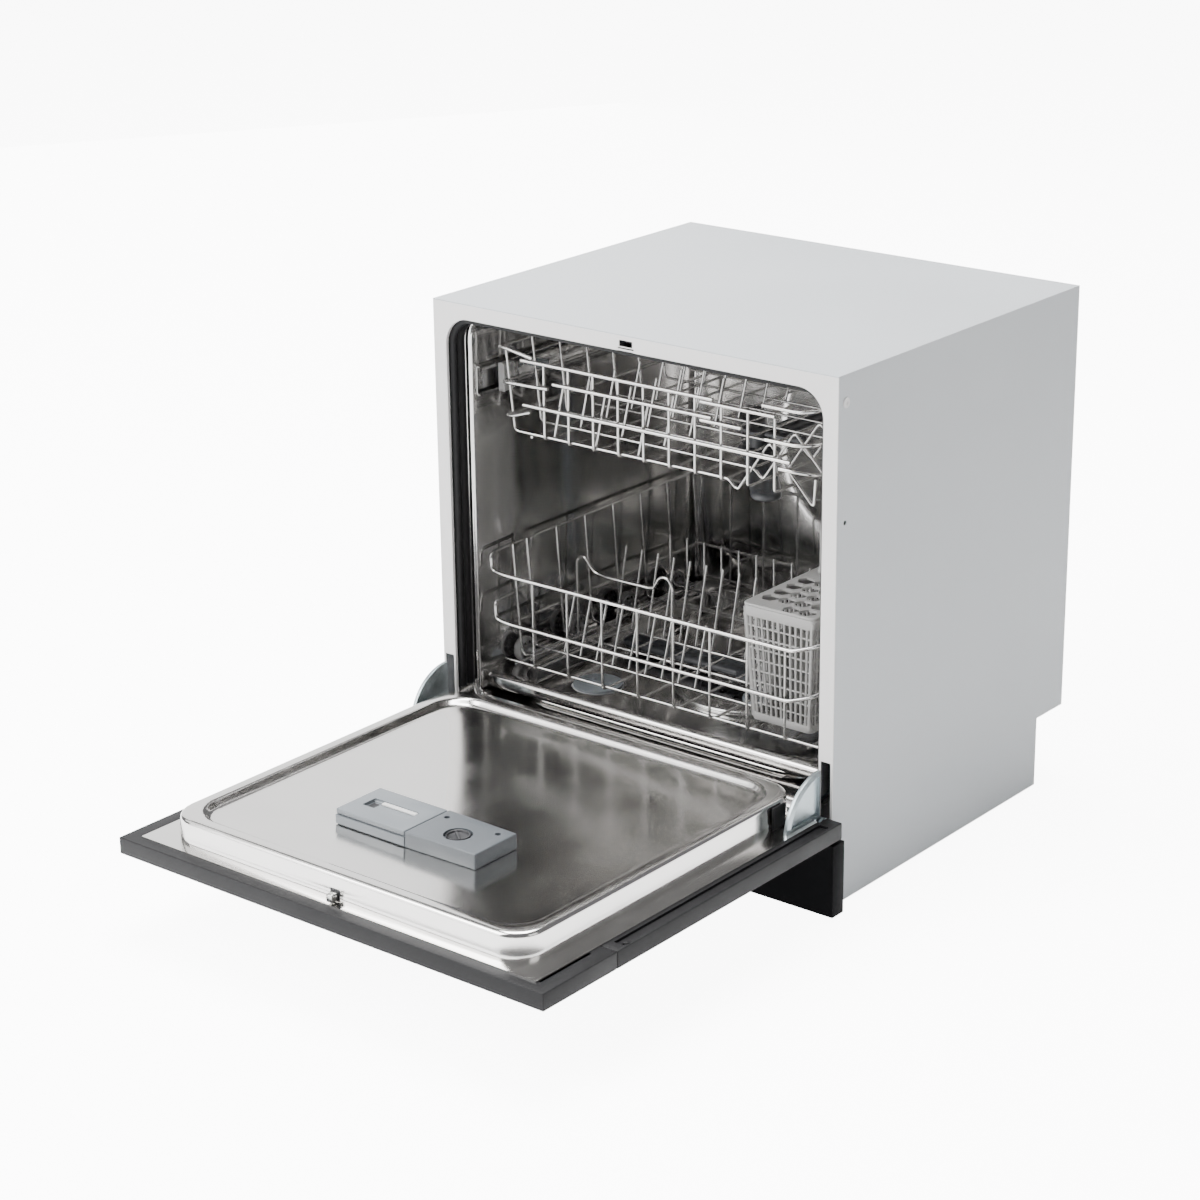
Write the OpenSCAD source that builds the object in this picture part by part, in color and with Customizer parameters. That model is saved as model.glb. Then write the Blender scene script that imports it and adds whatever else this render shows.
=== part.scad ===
// Compact front-loading dishwasher with a drop-down door and two wire racks.
// Millimetres, +Z up, the door opens towards -Y, origin at the centre of the
// footprint. The door stands open and level; both racks are pushed home.

/* [Cabinet] */
// width over the side panels
cab_w = 550; // [440:1:640]
// depth behind the front flange
cab_d = 475; // [440:1:600]
// height from the feet to the top panel
cab_h = 595; // [570:1:860]
// painted sheet thickness
sheet_t = 1.2; // [0.6:0.1:2]
// height of the stepped-in toe space at the back
notch_h = 88; // [60:1:110]
// depth of the stepped-in toe space at the back
notch_d = 56; // [30:1:90]
// gap under the side panels
foot_gap = 4; // [2:1:12]

/* [Tub] */
// wall of the steel tub
tub_t = 1; // [0.6:0.1:2]
// flange width left and right of the opening
flange_side = 18; // [14:1:30]
// flange height above the opening
flange_top = 18; // [14:1:30]
// corner radius of the opening
opening_r = 32; // [15:1:45]
// top of the tub floor
floor_z = 118; // [110:1:130]
// running surface of the rack wheels
track_z = 142; // [136:1:150]

/* [Door] */
// overhang of the door front past the cabinet, each side
door_over = 17; // [2:1:30]
// gap between the shut door's top edge and the top panel's face
door_top_gap = 2.9; // [2:0.1:8]
// underside of the open door
door_z = 91.3; // [90:0.1:96]
// thickness of the black door frame
door_t = 19.1; // [16:0.1:24]
// depth of the control panel strip
control_l = 112; // [80:1:150]
// gap between the shut door's pan and the opening, each side
pan_gap = 11; // [10:0.5:20]
// gap between the shut door's pan and the top of the opening
pan_top_gap = 8.9; // [8:0.1:20]

/* [Hinge] */
// gap between the shut door's pan and the cabinet flange
door_gap = 0.4; // [0.3:0.1:3]
// height of the hinge axis
hinge_z = 103.2; // [102:0.1:106]
// radius of the hinge pins
pin_r = 4; // [3:0.1:5]
// radial play of the turning joints
play = 0.06; // [0.03:0.01:0.1]
// radius of the quarter-round hinge arm
arm_r = 62; // [50:1:66]

/* [Racks] */
// rail wire diameter
rail_d = 4.6; // [3.5:0.1:6]
// filler wire diameter
wire_d = 3.2; // [2.5:0.1:4]
// gap between the shut door's dispenser and the racks
rack_gap = 4.3; // [4:0.1:20]
// gap between the racks and the tub's back wall
rack_back_gap = 22; // [20:1:40]
// gap between the lower rack and the tub wall, each side
low_gap = 11; // [9:0.5:14]
// height of the lower rack over its base wires
low_h = 130; // [90:1:140]
// height of the lower rack's base wires over the running surface
low_lift = 18; // [17.5:0.5:26]
// gap between the upper rack and the tub wall, each side
up_gap = 28; // [27:0.5:40]
// distance of the upper rack's top rail under the tub's ceiling
up_drop = 33; // [20:1:60]
// height of the upper rack over its base wires
up_h = 98; // [80:1:120]
// width of the cutlery basket
basket_w = 96; // [80:1:110]
// length of the cutlery basket
basket_l = 246; // [200:1:300]
// wheel radius
wheel_r = 15; // [13:0.5:15]
// distance between neighbouring wheels
wheel_pitch = 97; // [80:1:100]

/* [Hidden] */
$fn = 48;
e = 0.05;
hw = cab_w / 2;
in_half = hw - flange_side;
door_w = cab_w + 2 * door_over;
door_top = door_z + door_t;
pan_edge = 1.5;
hinge_out = door_top + pan_edge + door_gap - hinge_z;
turn_z = hinge_z - hinge_out;
door_l = cab_h - door_top_gap - turn_z;
open_top = cab_h - flange_top;
open_bot = 100;
main_half = in_half - 8;
main_top = open_top - 6;
collar_d = 31;
tub_back = cab_d - 22;
door_rear = -5;
pan_half = in_half - pan_gap;
pan_front = door_l - (open_top - pan_top_gap - turn_z);
pan_z = track_z;
pan_floor = pan_z - 8;
rim_w = 30;
pan_rear = -15;
frame_dy = (door_l - cab_d) / 2;
disp_h = 10;
rack_front = pan_z + disp_h - hinge_z - hinge_out + rack_gap;
rack_back = tub_back - tub_t - rack_back_gap;
low_len = rack_back - rack_front;
up_len = rack_back - rack_front - 4;
low_half = main_half - low_gap;
low_base = track_z + low_lift;
low_top = low_base + low_h;
up_half = main_half - up_gap;
up_top = main_top - up_drop;
up_base = up_top - up_h;
slide_z = up_top - 43.5;
up_long = up_half - 25;
clip_x = 0.3 * up_long;
arm_x = hw - 13;
buffer_x = door_w / 2 - 6;
wheel_x = main_half - 22.5;
axle_r = 3;
post_r = 6;
sump_r = 70;
foot_r = 4;
pan_t = 1.2;
soft_y = 130;
soft_x = main_half - 99;
button_x = 120;
button_gap = 34;
button_y = -door_l + 53;
button_r = 7.4;
power_r = 9.4;
slide_h = 35;
slide_y = rack_front + 22;
arm_cy = (collar_d + tub_back) / 2;
lower_reach = min((tub_back - collar_d) / 2 - 15, main_half - 53);
upper_reach = min((tub_back - collar_d) / 2 - 31, main_half - 69);
wheel_z = track_z + wheel_r + e;
rail_r = rail_d / 2;
wire_r = wire_d / 2;
lay = rail_r + wire_r + e;
low_r = 48;
up_r = 28;
tight = 9;
guard_r = 2;
arm_turn = 51;
handle_leg = 27.3;
handle_h = 58;
step = 2 * wire_r + e;
steel = [0.78, 0.78, 0.77];
paint = [0.84, 0.85, 0.86];
black = [0.07, 0.07, 0.075];
grey = [0.6, 0.61, 0.62];
coat = [0.74, 0.74, 0.73];

// ---------------------------------------------------------------- helpers

// rounded rectangle centred on the origin
module rrect(w, h, r) {
    square([w - 2 * r, h], center = true);
    square([w, h - 2 * r], center = true);
    for (sx = [-1, 1], sy = [-1, 1])
        translate([sx * (w / 2 - r), sy * (h / 2 - r)]) circle(r);
}

// box given by its two corners
module span(a, b) {
    translate(a) cube(b - a);
}

// profile in X and Z pushed along +Y from y0 to y1
module along_y(y0, y1) {
    translate([0, y1, 0]) rotate([90, 0, 0]) linear_extrude(y1 - y0) children();
}

// straight round wire between two points
module wire(a, b, r) {
    d = b - a;
    len = norm(d);
    translate(a) rotate([0, acos(d[2] / len), atan2(d[1], d[0])]) cylinder(h = len, r = r);
}

// wire through a list of points, each straight stopping just short of its ends
module path(pts, r, trim) {
    for (i = [0:len(pts) - 2]) {
        a = pts[i];
        b = pts[i + 1];
        u = (b - a) / norm(b - a);
        wire(a + (i == 0 ? 0 : trim) * u, b - (i == len(pts) - 2 ? 0 : trim) * u, r);
    }
}

module both_sides() {
    children();
    mirror([1, 0, 0]) children();
}

// tub collar outline in X and Z, grown outwards by g
module collar_shape(g) {
    translate([0, (open_top + open_bot) / 2])
        rrect(2 * (in_half + g), open_top - open_bot + 2 * g, opening_r + g);
}

// main tub outline in X and Z, grown outwards by g
module main_shape(g) {
    h = main_top - floor_z;
    translate([0, floor_z + h / 2]) rrect(2 * (main_half + g), h + 2 * g, opening_r - 4 + g);
    translate([0, floor_z + h / 4]) rrect(2 * (main_half + g), h / 2 + 2 * g, foot_r + g);
}

// ---------------------------------------------------------------- cabinet

module side_panels() {
    color(paint) both_sides() difference() {
        span([hw - sheet_t, sheet_t + e, foot_gap], [hw, cab_d, cab_h - sheet_t - e]);
        span([hw - 5, cab_d - notch_d, 0], [hw + 5, cab_d + 5, notch_h]);
        translate([hw - 5, 15.3, cab_h - 159]) rotate([0, 90, 0]) cylinder(h = 10, r = 2.6);
        translate([hw - 5, 13.5, cab_h - 30]) rotate([0, 90, 0]) cylinder(h = 10, r = 2.2);
    }
}

module top_panel() {
    color(paint) span([-hw, 0, cab_h - sheet_t], [hw, cab_d, cab_h]);
}

module front_flange() {
    color([0.89, 0.89, 0.89]) difference() {
        span([-hw, 0, foot_gap], [hw, sheet_t, cab_h - sheet_t - e]);
        along_y(-5, 5) collar_shape(0);
        both_sides() span([arm_x - 2.5, -5, hinge_z - 12], [arm_x + 10.2, 5, hinge_z + arm_r + 6]);
        span([-9, -5, cab_h - 13], [9, 5, cab_h - 6]);
        span([-11, -5, open_top - 4], [11, 5, open_top + 4]);
    }
}

module back_panel() {
    color(paint) difference() {
        span([-hw + sheet_t + e, cab_d - sheet_t, notch_h], [hw - sheet_t - e, cab_d, cab_h - sheet_t - e]);
        for (i = [0:7]) span([-120 + 30 * i, cab_d - 5, 140], [-108 + 30 * i, cab_d + 5, 170]);
    }
}

module base_tray() {
    bx = hw - sheet_t - e;
    by = cab_d - notch_d;
    color([0.2, 0.2, 0.21]) difference() {
        span([-bx, sheet_t + e, 10], [bx, by, 60]);
        span([-bx + 3, sheet_t + 4, 13], [bx - 3, by - 3, 70]);
        for (x = [-205, -60, 60]) translate([x, by - 10, 38]) rotate([-90, 0, 0]) cylinder(h = 20, r = 15);
    }
}

module feet() {
    color(black) for (x = [-hw + 40, hw - 40], y = [34, cab_d - notch_d - 34]) translate([x, y, 0]) {
        cylinder(h = 5, r = 18);
        cylinder(h = 9.95, r = 6);
    }
}

module panel_screws() {
    color([0.86, 0.86, 0.86]) both_sides() translate([hw, 13.5, cab_h - 30]) rotate([0, 90, 0]) {
        difference() {
            cylinder(h = 1.2, r = 5.5);
            translate([0, 0, 0.6]) cylinder(h = 2, r = 2.4);
        }
        translate([0, 0, -8]) cylinder(h = 8, r = 2.15);
    }
}

module tub() {
    color(steel) difference() {
        // collar, step and box, each folded from its own sheet
        union() {
            along_y(sheet_t + e, collar_d - e) collar_shape(tub_t);
            along_y(collar_d, collar_d + 1) collar_shape(tub_t);
            along_y(collar_d + 1 + e, tub_back) main_shape(tub_t);
        }
        along_y(-5, collar_d) collar_shape(0);
        along_y(0, tub_back - tub_t) main_shape(0);
        translate([0, arm_cy, floor_z - 20]) cylinder(h = 40, r = sump_r);
        translate([-soft_x, soft_y, floor_z - 20]) cylinder(h = 40, r = 32);
        span([-11, 0, open_top - 5], [11, 20, open_top + 5]);
        tub_seams();
    }
}

// seams that part the collar, the step and the box into flat walls and bent corners
module tub_seams() {
    y0 = collar_d + 1 + e / 2;
    for (z = [open_bot + opening_r, open_top - opening_r]) span([-hw, 0, z], [hw, y0, z + e]);
    both_sides() span([in_half - opening_r, 0, 0], [in_half - opening_r + e, y0, cab_h]);
    y1 = tub_back - tub_t;
    top_r = opening_r - 4;
    span([-hw, y1 - e, 0], [hw, y1, cab_h]);
    for (z = [floor_z + foot_r, main_top - top_r]) span([-hw, y0, z], [hw, y1, z + e]);
    both_sides() {
        span([main_half - top_r, y0, main_top - 5], [main_half - top_r + e, y1, main_top + 5]);
        span([main_half - foot_r, y0, floor_z - 5], [main_half - foot_r + e, y1, floor_z + 2]);
    }
}

module wheel_tracks() {
    color(steel) both_sides() difference() {
        span([main_half - 31, collar_d + 2, floor_z + e], [main_half - e - 4, tub_back - 6, track_z]);
        span([main_half - 28, collar_d - 5, floor_z - 5], [main_half - 8, tub_back + 5, track_z - 1.5]);
    }
}

module door_gasket() {
    color(black) difference() {
        along_y(5, 28) collar_shape(-e);
        along_y(0, 40) collar_shape(-6.5);
        span([-400, 0, 0], [400, 40, 132]);
        span([-12, 0, open_top - 20], [12, 40, open_top + 5]);
    }
}

module strike() {
    color([0.2, 0.2, 0.2]) difference() {
        span([-20, sheet_t + e, open_top + tub_t + e], [20, 24, cab_h - sheet_t - e]);
        span([-10, 0, open_top - 5], [10, 20, open_top + 6]);
        span([-9, -5, cab_h - 13], [9, 12, cab_h - 6]);
    }
}

module plinth() {
    color(black) difference() {
        span([-door_w / 2, -21, foot_gap], [door_w / 2, -e, notch_h]);
        span([-door_w / 2 + 3, -18, foot_gap - 5], [door_w / 2 - 3, 5, notch_h - 3]);
    }
    color(black) for (x = [-hw + 75, hw - 75]) span([x - 12, -17.95, 20], [x + 12, -e, 60]);
}

module hinge_brackets() {
    color([0.55, 0.6, 0.63]) both_sides() {
        translate([arm_x + 6, -hinge_out, hinge_z]) rotate([0, 90, 0]) cylinder(h = 3.4, r = 8);
        span([arm_x + 6, -hinge_out, hinge_z - 8], [arm_x + 9.4, 60, hinge_z + 2]);
        translate([arm_x - 1, -hinge_out, hinge_z]) rotate([0, 90, 0]) cylinder(h = 7, r = pin_r);
        span([arm_x + 6, 60, 61], [hw - sheet_t - e, 90, 160]);
    }
}

// one telescopic member seen from the end, open towards the rack
module slide_channel(x0, x1, h) {
    difference() {
        translate([(x0 + x1) / 2, slide_z]) square([x1 - x0, h], center = true);
        translate([(x0 + x1) / 2 - 1.4, slide_z]) square([x1 - x0, h - 3], center = true);
    }
}

module slide_outers() {
    color([0.45, 0.46, 0.47]) both_sides()
        along_y(40, rack_back + 10) slide_channel(main_half - 9.5, main_half - e, slide_h);
}

module slide_middles() {
    color([0.14, 0.14, 0.15]) both_sides() along_y(slide_y + 10, rack_back - 5)
        translate([main_half - 5.7, slide_z]) square([7, slide_h - 3.6], center = true);
}

module sump() {
    color([0.3, 0.31, 0.32]) translate([0, arm_cy, 0]) difference() {
        translate([0, 0, 62]) cylinder(h = floor_z - 62, r = sump_r - 0.1);
        translate([0, 0, 66]) cylinder(h = 60, r = sump_r - 4);
        translate([0, 60, 84]) rotate([-90, 0, 0]) cylinder(h = 40, r = 14);
        translate([-80, 0, 78]) rotate([0, 90, 0]) cylinder(h = 30, r = 8);
    }
}

module filter_plate() {
    color(steel) translate([0, arm_cy, 0]) difference() {
        union() {
            translate([0, 0, floor_z - 3]) cylinder(h = 3, r = sump_r - 4.1);
            cylinder_post();
        }
        translate([28, -28, 100]) cylinder(h = 30, r = 20 + play);
        for (a = [60:30:270]) rotate([0, 0, a]) translate([44, 0, 100]) cylinder(h = 30, r = 4);
    }
}

// post and pin that carry the lower arm
module cylinder_post() {
    translate([0, 0, 66.05]) cylinder(h = floor_z - 58, r = 11);
    translate([0, 0, floor_z + 2]) cylinder(h = 18, r = post_r);
}

module filter_cup() {
    color([0.5, 0.52, 0.54]) translate([28, arm_cy - 28, 0]) difference() {
        union() {
            translate([0, 0, 74]) cylinder(h = 46, r = 20);
            translate([0, 0, floor_z + e]) cylinder(h = 2.5, r = 23);
        }
        translate([0, 0, 77]) cylinder(h = 60, r = 17.5);
        for (a = [0:45:315], z = [84, 94, 104]) rotate([0, 0, a]) translate([10, -3, z]) cube([14, 6, 6]);
    }
    color([0.5, 0.52, 0.54]) translate([28, arm_cy - 28, 0])
        span([-17.45, -2, 112], [17.45, 2, 122]);
}

// spray arm of half length l lying between z0 and z1, bored for its pin
module arm(l, z0, z1, bore) {
    difference() {
        union() {
            translate([0, 0, z0]) cylinder(h = z1 - z0, r = 26);
            for (s = [0, 1]) rotate([0, 0, 180 * s]) {
                translate([0, -17, z0 + 1]) cube([l - 17, 34, z1 - z0 - 2]);
                translate([l - 17, 0, z0 + 1]) cylinder(h = z1 - z0 - 2, r = 17);
            }
        }
        translate([0, 0, z0 - 5]) cylinder(h = z1 - z0 + 10, r = bore);
        for (s = [0, 1], i = [0:3]) rotate([0, 0, 180 * s])
            translate([50 + 36 * i, i % 2 == 0 ? 7 : -7, z1 - 4]) cylinder(h = 10, r = 1.6);
    }
}

module lower_arm() {
    color(grey) translate([0, arm_cy, 0]) arm(lower_reach, floor_z + 10, floor_z + 22, post_r + play);
}

module heater() {
    color([0.62, 0.6, 0.56]) translate([0, arm_cy, floor_z + 3.6 + e])
        rotate([0, 0, 120]) rotate_extrude(angle = 300) translate([96, 0]) circle(3.6);
}

module circulation_pump() {
    color([0.25, 0.25, 0.26]) translate([-20, arm_cy + 118, 66]) rotate([0, 90, 0]) {
        cylinder(h = 46, r = 40);
        translate([0, 0, 46 + e]) cylinder(h = 84, r = 34);
        translate([0, 0, 130 + 2 * e]) cylinder(h = 8, r = 12);
    }
    color([0.25, 0.25, 0.26]) translate([0, arm_cy + 70.2, 84]) rotate([-90, 0, 0]) difference() {
        cylinder(h = 12, r = 13.6);
        translate([0, 0, -5]) cylinder(h = 30, r = 11);
    }
}

module drain_pump() {
    color([0.2, 0.32, 0.42]) translate([-160, arm_cy, 78]) rotate([0, 90, 0]) {
        cylinder(h = 60, r = 24);
        translate([0, 0, 60 + e]) difference() {
            cylinder(h = 32, r = 7.6);
            translate([0, 0, -5]) cylinder(h = 50, r = 5);
        }
        translate([0, 0, -30 - e]) cylinder(h = 30, r = 20);
    }
    color([0.2, 0.32, 0.42]) span([-150, arm_cy - 12, 13 + e], [-110, arm_cy + 12, 54 - e]);
}

module softener() {
    color([0.86, 0.86, 0.84]) difference() {
        span([-hw + 37, soft_y - 70, 13 + e], [-soft_x + 38, soft_y + 60, floor_z - tub_t - e]);
        translate([-soft_x, soft_y, 60]) cylinder(h = 80, r = 31);
    }
    color([0.86, 0.86, 0.84]) translate([-soft_x, soft_y, 0]) difference() {
        translate([0, 0, 60 + e]) cylinder(h = floor_z - 60 + 1, r = 30.9);
        translate([0, 0, 70]) cylinder(h = 80, r = 26 + play);
    }
}

module salt_cap() {
    color([0.5, 0.52, 0.54]) translate([-soft_x, soft_y, 0]) difference() {
        union() {
            translate([0, 0, 100]) cylinder(h = floor_z - 99, r = 26);
            translate([0, 0, floor_z + 1 + e]) cylinder(h = 3, r = 29.5);
        }
        for (s = [-1, 1]) translate([s * 13, 0, floor_z + 2]) cylinder(h = 10, r = 7);
    }
}

module inlet_valve() {
    color([0.88, 0.88, 0.86]) translate([-205, 0, 38]) rotate([-90, 0, 0]) {
        translate([0, 0, cab_d - notch_d - 30]) cylinder(h = 30 + 22, r = 14.6);
        translate([0, 0, cab_d - notch_d + 22]) difference() {
            cylinder(h = 22, r = 13.2);
            translate([0, 0, 2]) cylinder(h = 30, r = 9);
        }
    }
    color([0.88, 0.88, 0.86])
        span([-222, cab_d - notch_d - 67, 13 + e], [-188, cab_d - notch_d - 30 - e, 58]);
}

module drain_stub() {
    color(black) translate([-60, 0, 38]) rotate([-90, 0, 0]) translate([0, 0, cab_d - notch_d - 12])
        difference() {
            union() {
                cylinder(h = 12, r = 14.8);
                cylinder(h = 50, r = 10.5);
            }
            translate([0, 0, -5]) cylinder(h = 70, r = 8);
        }
}

module cable_gland() {
    color(black) translate([60, 0, 38]) rotate([-90, 0, 0]) translate([0, 0, cab_d - notch_d - 8])
        difference() {
            union() {
                cylinder(h = 8, r = 14.8);
                cylinder(h = 30, r = 9);
            }
            translate([0, 0, 10]) cylinder(h = 70, r = 4);
        }
}

module feed_duct() {
    y1 = tub_back - tub_t - e;
    color([0.55, 0.56, 0.57]) {
        span([-14, y1 - 12, floor_z + e], [14, y1, up_base - 24]);
        translate([0, y1 - 24, up_base - 18]) rotate([-90, 0, 0]) difference() {
            cylinder(h = 24, r = 14);
            translate([0, 0, -5]) cylinder(h = 22, r = 9);
        }
        span([-14, arm_cy + 66.2, floor_z + e], [14, y1 - 12 - e, floor_z + 5]);
    }
}

// ---------------------------------------------------------------- door

// frame ring with a thin outer skin from y0 to y1
module frame_part(y0, y1, close_front, close_rear) {
    difference() {
        span([-door_w / 2, y0, door_z], [door_w / 2, y1, door_top]);
        span([-door_w / 2 + 22, y0 + (close_front ? 16 : -5), door_z + 3],
            [door_w / 2 - 22, y1 - (close_rear ? 4 : -5), door_top + 5]);
    }
}

module door_panel() {
    color(black) difference() {
        frame_part(-door_l + control_l, door_rear, false, true);
        both_sides() span([arm_x - 1.5, -hinge_out - 10, hinge_z - 9], [arm_x + 10.4, 5, door_top + 5]);
        both_sides() translate([buffer_x, -door_l + control_l + 20, door_top - 3]) cylinder(h = 10, r = 3.2);
    }
}

module control_panel() {
    color(black) difference() {
        frame_part(-door_l, -door_l + control_l - 0.4, true, false);
        span([-120, -door_l - 5, door_z - 5], [120, -door_l + 10, door_z + 9]);
        span([-70, button_y - 17, door_z - 5], [70, button_y + 17, door_z + 1.2]);
        for (i = [0:2])
            translate([button_x + button_gap * i, button_y, door_z - 5]) cylinder(h = 10, r = button_r);
        translate([-150, button_y, door_z - 5]) cylinder(h = 10, r = power_r);
    }
}

module door_fill() {
    color([0.24, 0.23, 0.22])
        span([-door_w / 2 + 34, -door_l + control_l + 4, door_z + 3 + e],
            [door_w / 2 - 34, -24, door_top - 2]);
}

// pan outline in X and Y shrunk by g
module pan_shape(g) {
    y0 = -door_l + pan_front;
    l = pan_rear - y0;
    translate([0, y0 + l / 2]) rrect(2 * (pan_half - g), l - 2 * g, max(opening_r - 4 - g, 4));
}

module pan_ring(z0, z1, g0, g1) {
    translate([0, 0, z0]) linear_extrude(z1 - z0) difference() {
        pan_shape(g0);
        pan_shape(g1);
    }
}

module door_pan() {
    // flat edge round the raised tray
    color(steel) difference() {
        span([-door_w / 2 + 20, -door_l + 14, door_top + e], [door_w / 2 - 20, -22, door_top + pan_edge]);
        translate([0, 0, door_top - 5]) linear_extrude(20) pan_shape(-e);
    }
    // outer wall, rim, inner wall and floor of the tray
    color(steel) difference() {
        pan_ring(door_top + e, pan_z - pan_t - e, 0, pan_t);
        span([-7, -door_l, door_top + 2], [7, -door_l + pan_front + 5, door_top + 15]);
    }
    color(steel) {
        pan_ring(pan_z - pan_t, pan_z, 0, rim_w);
        pan_ring(pan_floor + e, pan_z - pan_t - e, rim_w - pan_t, rim_w);
        translate([0, 0, pan_floor - pan_t]) linear_extrude(pan_t) pan_shape(rim_w - pan_t);
    }
}

module hinge_arms() {
    color([0.6, 0.66, 0.68]) both_sides() translate([arm_x, -hinge_out, hinge_z]) rotate([90, 0, 90])
        difference() {
            union() {
                cylinder(h = 4, r = 8);
                intersection() {
                    cylinder(h = 4, r = arm_r);
                    translate([-arm_r, door_top + pan_edge + e - hinge_z, 0]) cube([arm_r, arm_r, 4]);
                }
                translate([-8, 0, 0]) cube([8, 12, 4]);
            }
            translate([0, 0, -5]) cylinder(h = 20, r = pin_r + play);
        }
}

module pan_baffles() {
    color(black) both_sides()
        span([pan_half + e, -70, door_top + pan_edge + e], [pan_half + 3.8, -48, pan_z - 4]);
}

module door_buffers() {
    color([0.3, 0.3, 0.31]) both_sides() translate([buffer_x, -door_l + control_l + 20, door_top - 3 + e]) {
        cylinder(h = 3.2, r = 3.1);
        translate([0, 0, 3.2]) cylinder(h = 0.8, r = 4.2);
    }
}

module display_window() {
    color([0.02, 0.02, 0.03])
        span([-69.9, button_y - 16.9, door_z + 0.1], [69.9, button_y + 16.9, door_z + 1.15]);
}

module button(i) {
    color([0.3, 0.3, 0.32]) translate([button_x + button_gap * i, button_y, door_z - 0.8])
        cylinder(h = 8, r = button_r - play);
}
module button_1() { button(0); }
module button_2() { button(1); }
module button_3() { button(2); }

module power_button() {
    color([0.45, 0.45, 0.47]) translate([-150, button_y, door_z - 1.4]) cylinder(h = 9, r = power_r - play);
}

module latch_case() {
    color([0.2, 0.2, 0.2]) difference() {
        span([-26, -door_l + pan_front + 1.25, door_top + 1.6],
            [26, -door_l + pan_front + 46, pan_floor - 1.4]);
        span([-4.2, -door_l, door_top + 3], [4.2, -door_l + pan_front + 36, door_top + 12]);
    }
}

module latch_tongue() {
    color([0.8, 0.8, 0.8])
        span([-4, -door_l + pan_front - 9, door_top + 3.2], [4, -door_l + pan_front + 28, door_top + 11.8]);
}

disp_y = -door_l + pan_front + 102;

module dispenser() {
    color(grey) translate([0, disp_y, 0]) difference() {
        span([-96, 0, pan_floor + e], [96, 70, pan_z + disp_h]);
        span([-100, 1, pan_z + 4], [1, 69, pan_z + 20]);
        span([-84, 8, pan_floor + 3], [-12, 62, pan_z + 20]);
        translate([50, 29, pan_z + 6]) cylinder(h = 20, r = 13 + play);
        for (x = [12.5, 82]) translate([x, 54, pan_z + 7]) cylinder(h = 10, r = 2.4);
        span([1, -0.1, pan_z + 4], [1.8, 71, pan_z + 20]);
        span([18, -0.1, pan_z + disp_h - 1.2], [19, 42, pan_z + 20]);
    }
}

module dispenser_lid() {
    color(grey) translate([0, disp_y, 0]) difference() {
        span([-95.5, 1.1, pan_z + 4 + e], [0.7, 68.9, pan_z + disp_h]);
        span([-78, 36, pan_z + 5.5], [-18, 50, pan_z + 20]);
    }
}

module rinse_cap() {
    color([0.2, 0.2, 0.21]) translate([50, disp_y + 29, pan_z + 6 + e]) difference() {
        cylinder(h = disp_h - 6.1, r = 13);
        translate([-10, -1.5, 2.5]) cube([20, 3, 5]);
    }
}

// ---------------------------------------------------------------- racks

// round corner on the right, where the rail drops from the side height to the front height
function corner_pts(half, yf, zs, zf, r) = [
    [half, yf + r + 6, zs],
    [half - 0.13 * r, yf + 0.62 * r, zs - 0.3 * (zs - zf)],
    [half - 0.5 * r, yf + 0.2 * r, zs - 0.7 * (zs - zf)],
    [half - r, yf, zf]];

// tight corner on the left, where the rail drops along the front
function tight_pts(half, yf, zs, zf) = [
    [-half, yf + tight, zs],
    [-half + 0.27 * tight, yf + 0.29 * tight, zs - 0.2 * (zs - zf)],
    [-half + tight, yf, zs - 0.5 * (zs - zf)],
    [-half + 3.6 * tight, yf, zf]];

// outward lean of the side uprights at height z
function lean(xb, zb, xt, zt, z) = xb + (xt - xb) * (z - zb) / (zt - zb);

// places of the base cross wires, first and last against the end uprights
function wheel_y(k) = (rack_front + rack_back + 7) / 2 + (k - 1.5) * wheel_pitch;
function cross_y(i, n, yf, yb) = yf + lay + step + i * (yb - step - wire_r - yf - lay - step) / n;

// front rail with its two falling corners
module front_rail(half, yf, zs, zf, r) {
    wire([-half + 3.6 * tight + 0.6, yf, zf], [half - r - 0.6, yf, zf], rail_r);
    path(corner_pts(half, yf, zs, zf, r), rail_r, 0.66);
    path(tight_pts(half, yf, zs, zf), rail_r, 0.66);
}

// rails that run round the front and along both sides at one level
module belt(half, yf, yb, zs, zf, r) {
    front_rail(half, yf, zs, zf, r);
    wire([half, yf + r + 6.6, zs], [half, yb, zs], rail_r);
    wire([-half, yf + tight + 0.6, zs], [-half, yb, zs], rail_r);
}

// base grid, side uprights and end uprights of one rack
module rack_shell(yf, yb, n, foot, half, zb, zt, zf, m) {
    top_x = half - lay - 0.1;
    for (i = [0:n]) wire([-foot, cross_y(i, n, yf, yb), zb], [foot, cross_y(i, n, yf, yb), zb], wire_r);
    for (side = [-1, 1]) for (i = [side < 0 ? 0 : 1:n]) {
        y = cross_y(i, n, yf, yb) + step;
        wire([side * (foot - 1), y, zb - wire_r], [side * top_x, y, zt], wire_r);
    }
    for (i = [0:m]) {
        x = -(foot - 46) + i * 2 * (foot - 46) / m;
        wire([x, yf + lay, zb - wire_r], [x, yf + lay, zf], wire_r);
        wire([x, yb - wire_r, zb - wire_r], [x, yb - wire_r, zt], wire_r);
    }
    wire([-half, yb + rail_r + e, zt], [half, yb + rail_r + e, zt], rail_r);
}

// points of the humped wire in the plane y, from its left foot to its right foot
function guard_pts(foot, y) = [
    for (p = [[25, -1], [25, 94], [28, 101], [32.5, 104], [37, 104.4], [42, 101], [50, 91], [57, 86.8],
        [131, 86], [138, 88.6], [145, 98], [150, 102.4], [157, 103.4], [163, 99.6], [166, 91], [165, -1]])
    [-foot + p[0], y, low_base + p[1]]];

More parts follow.
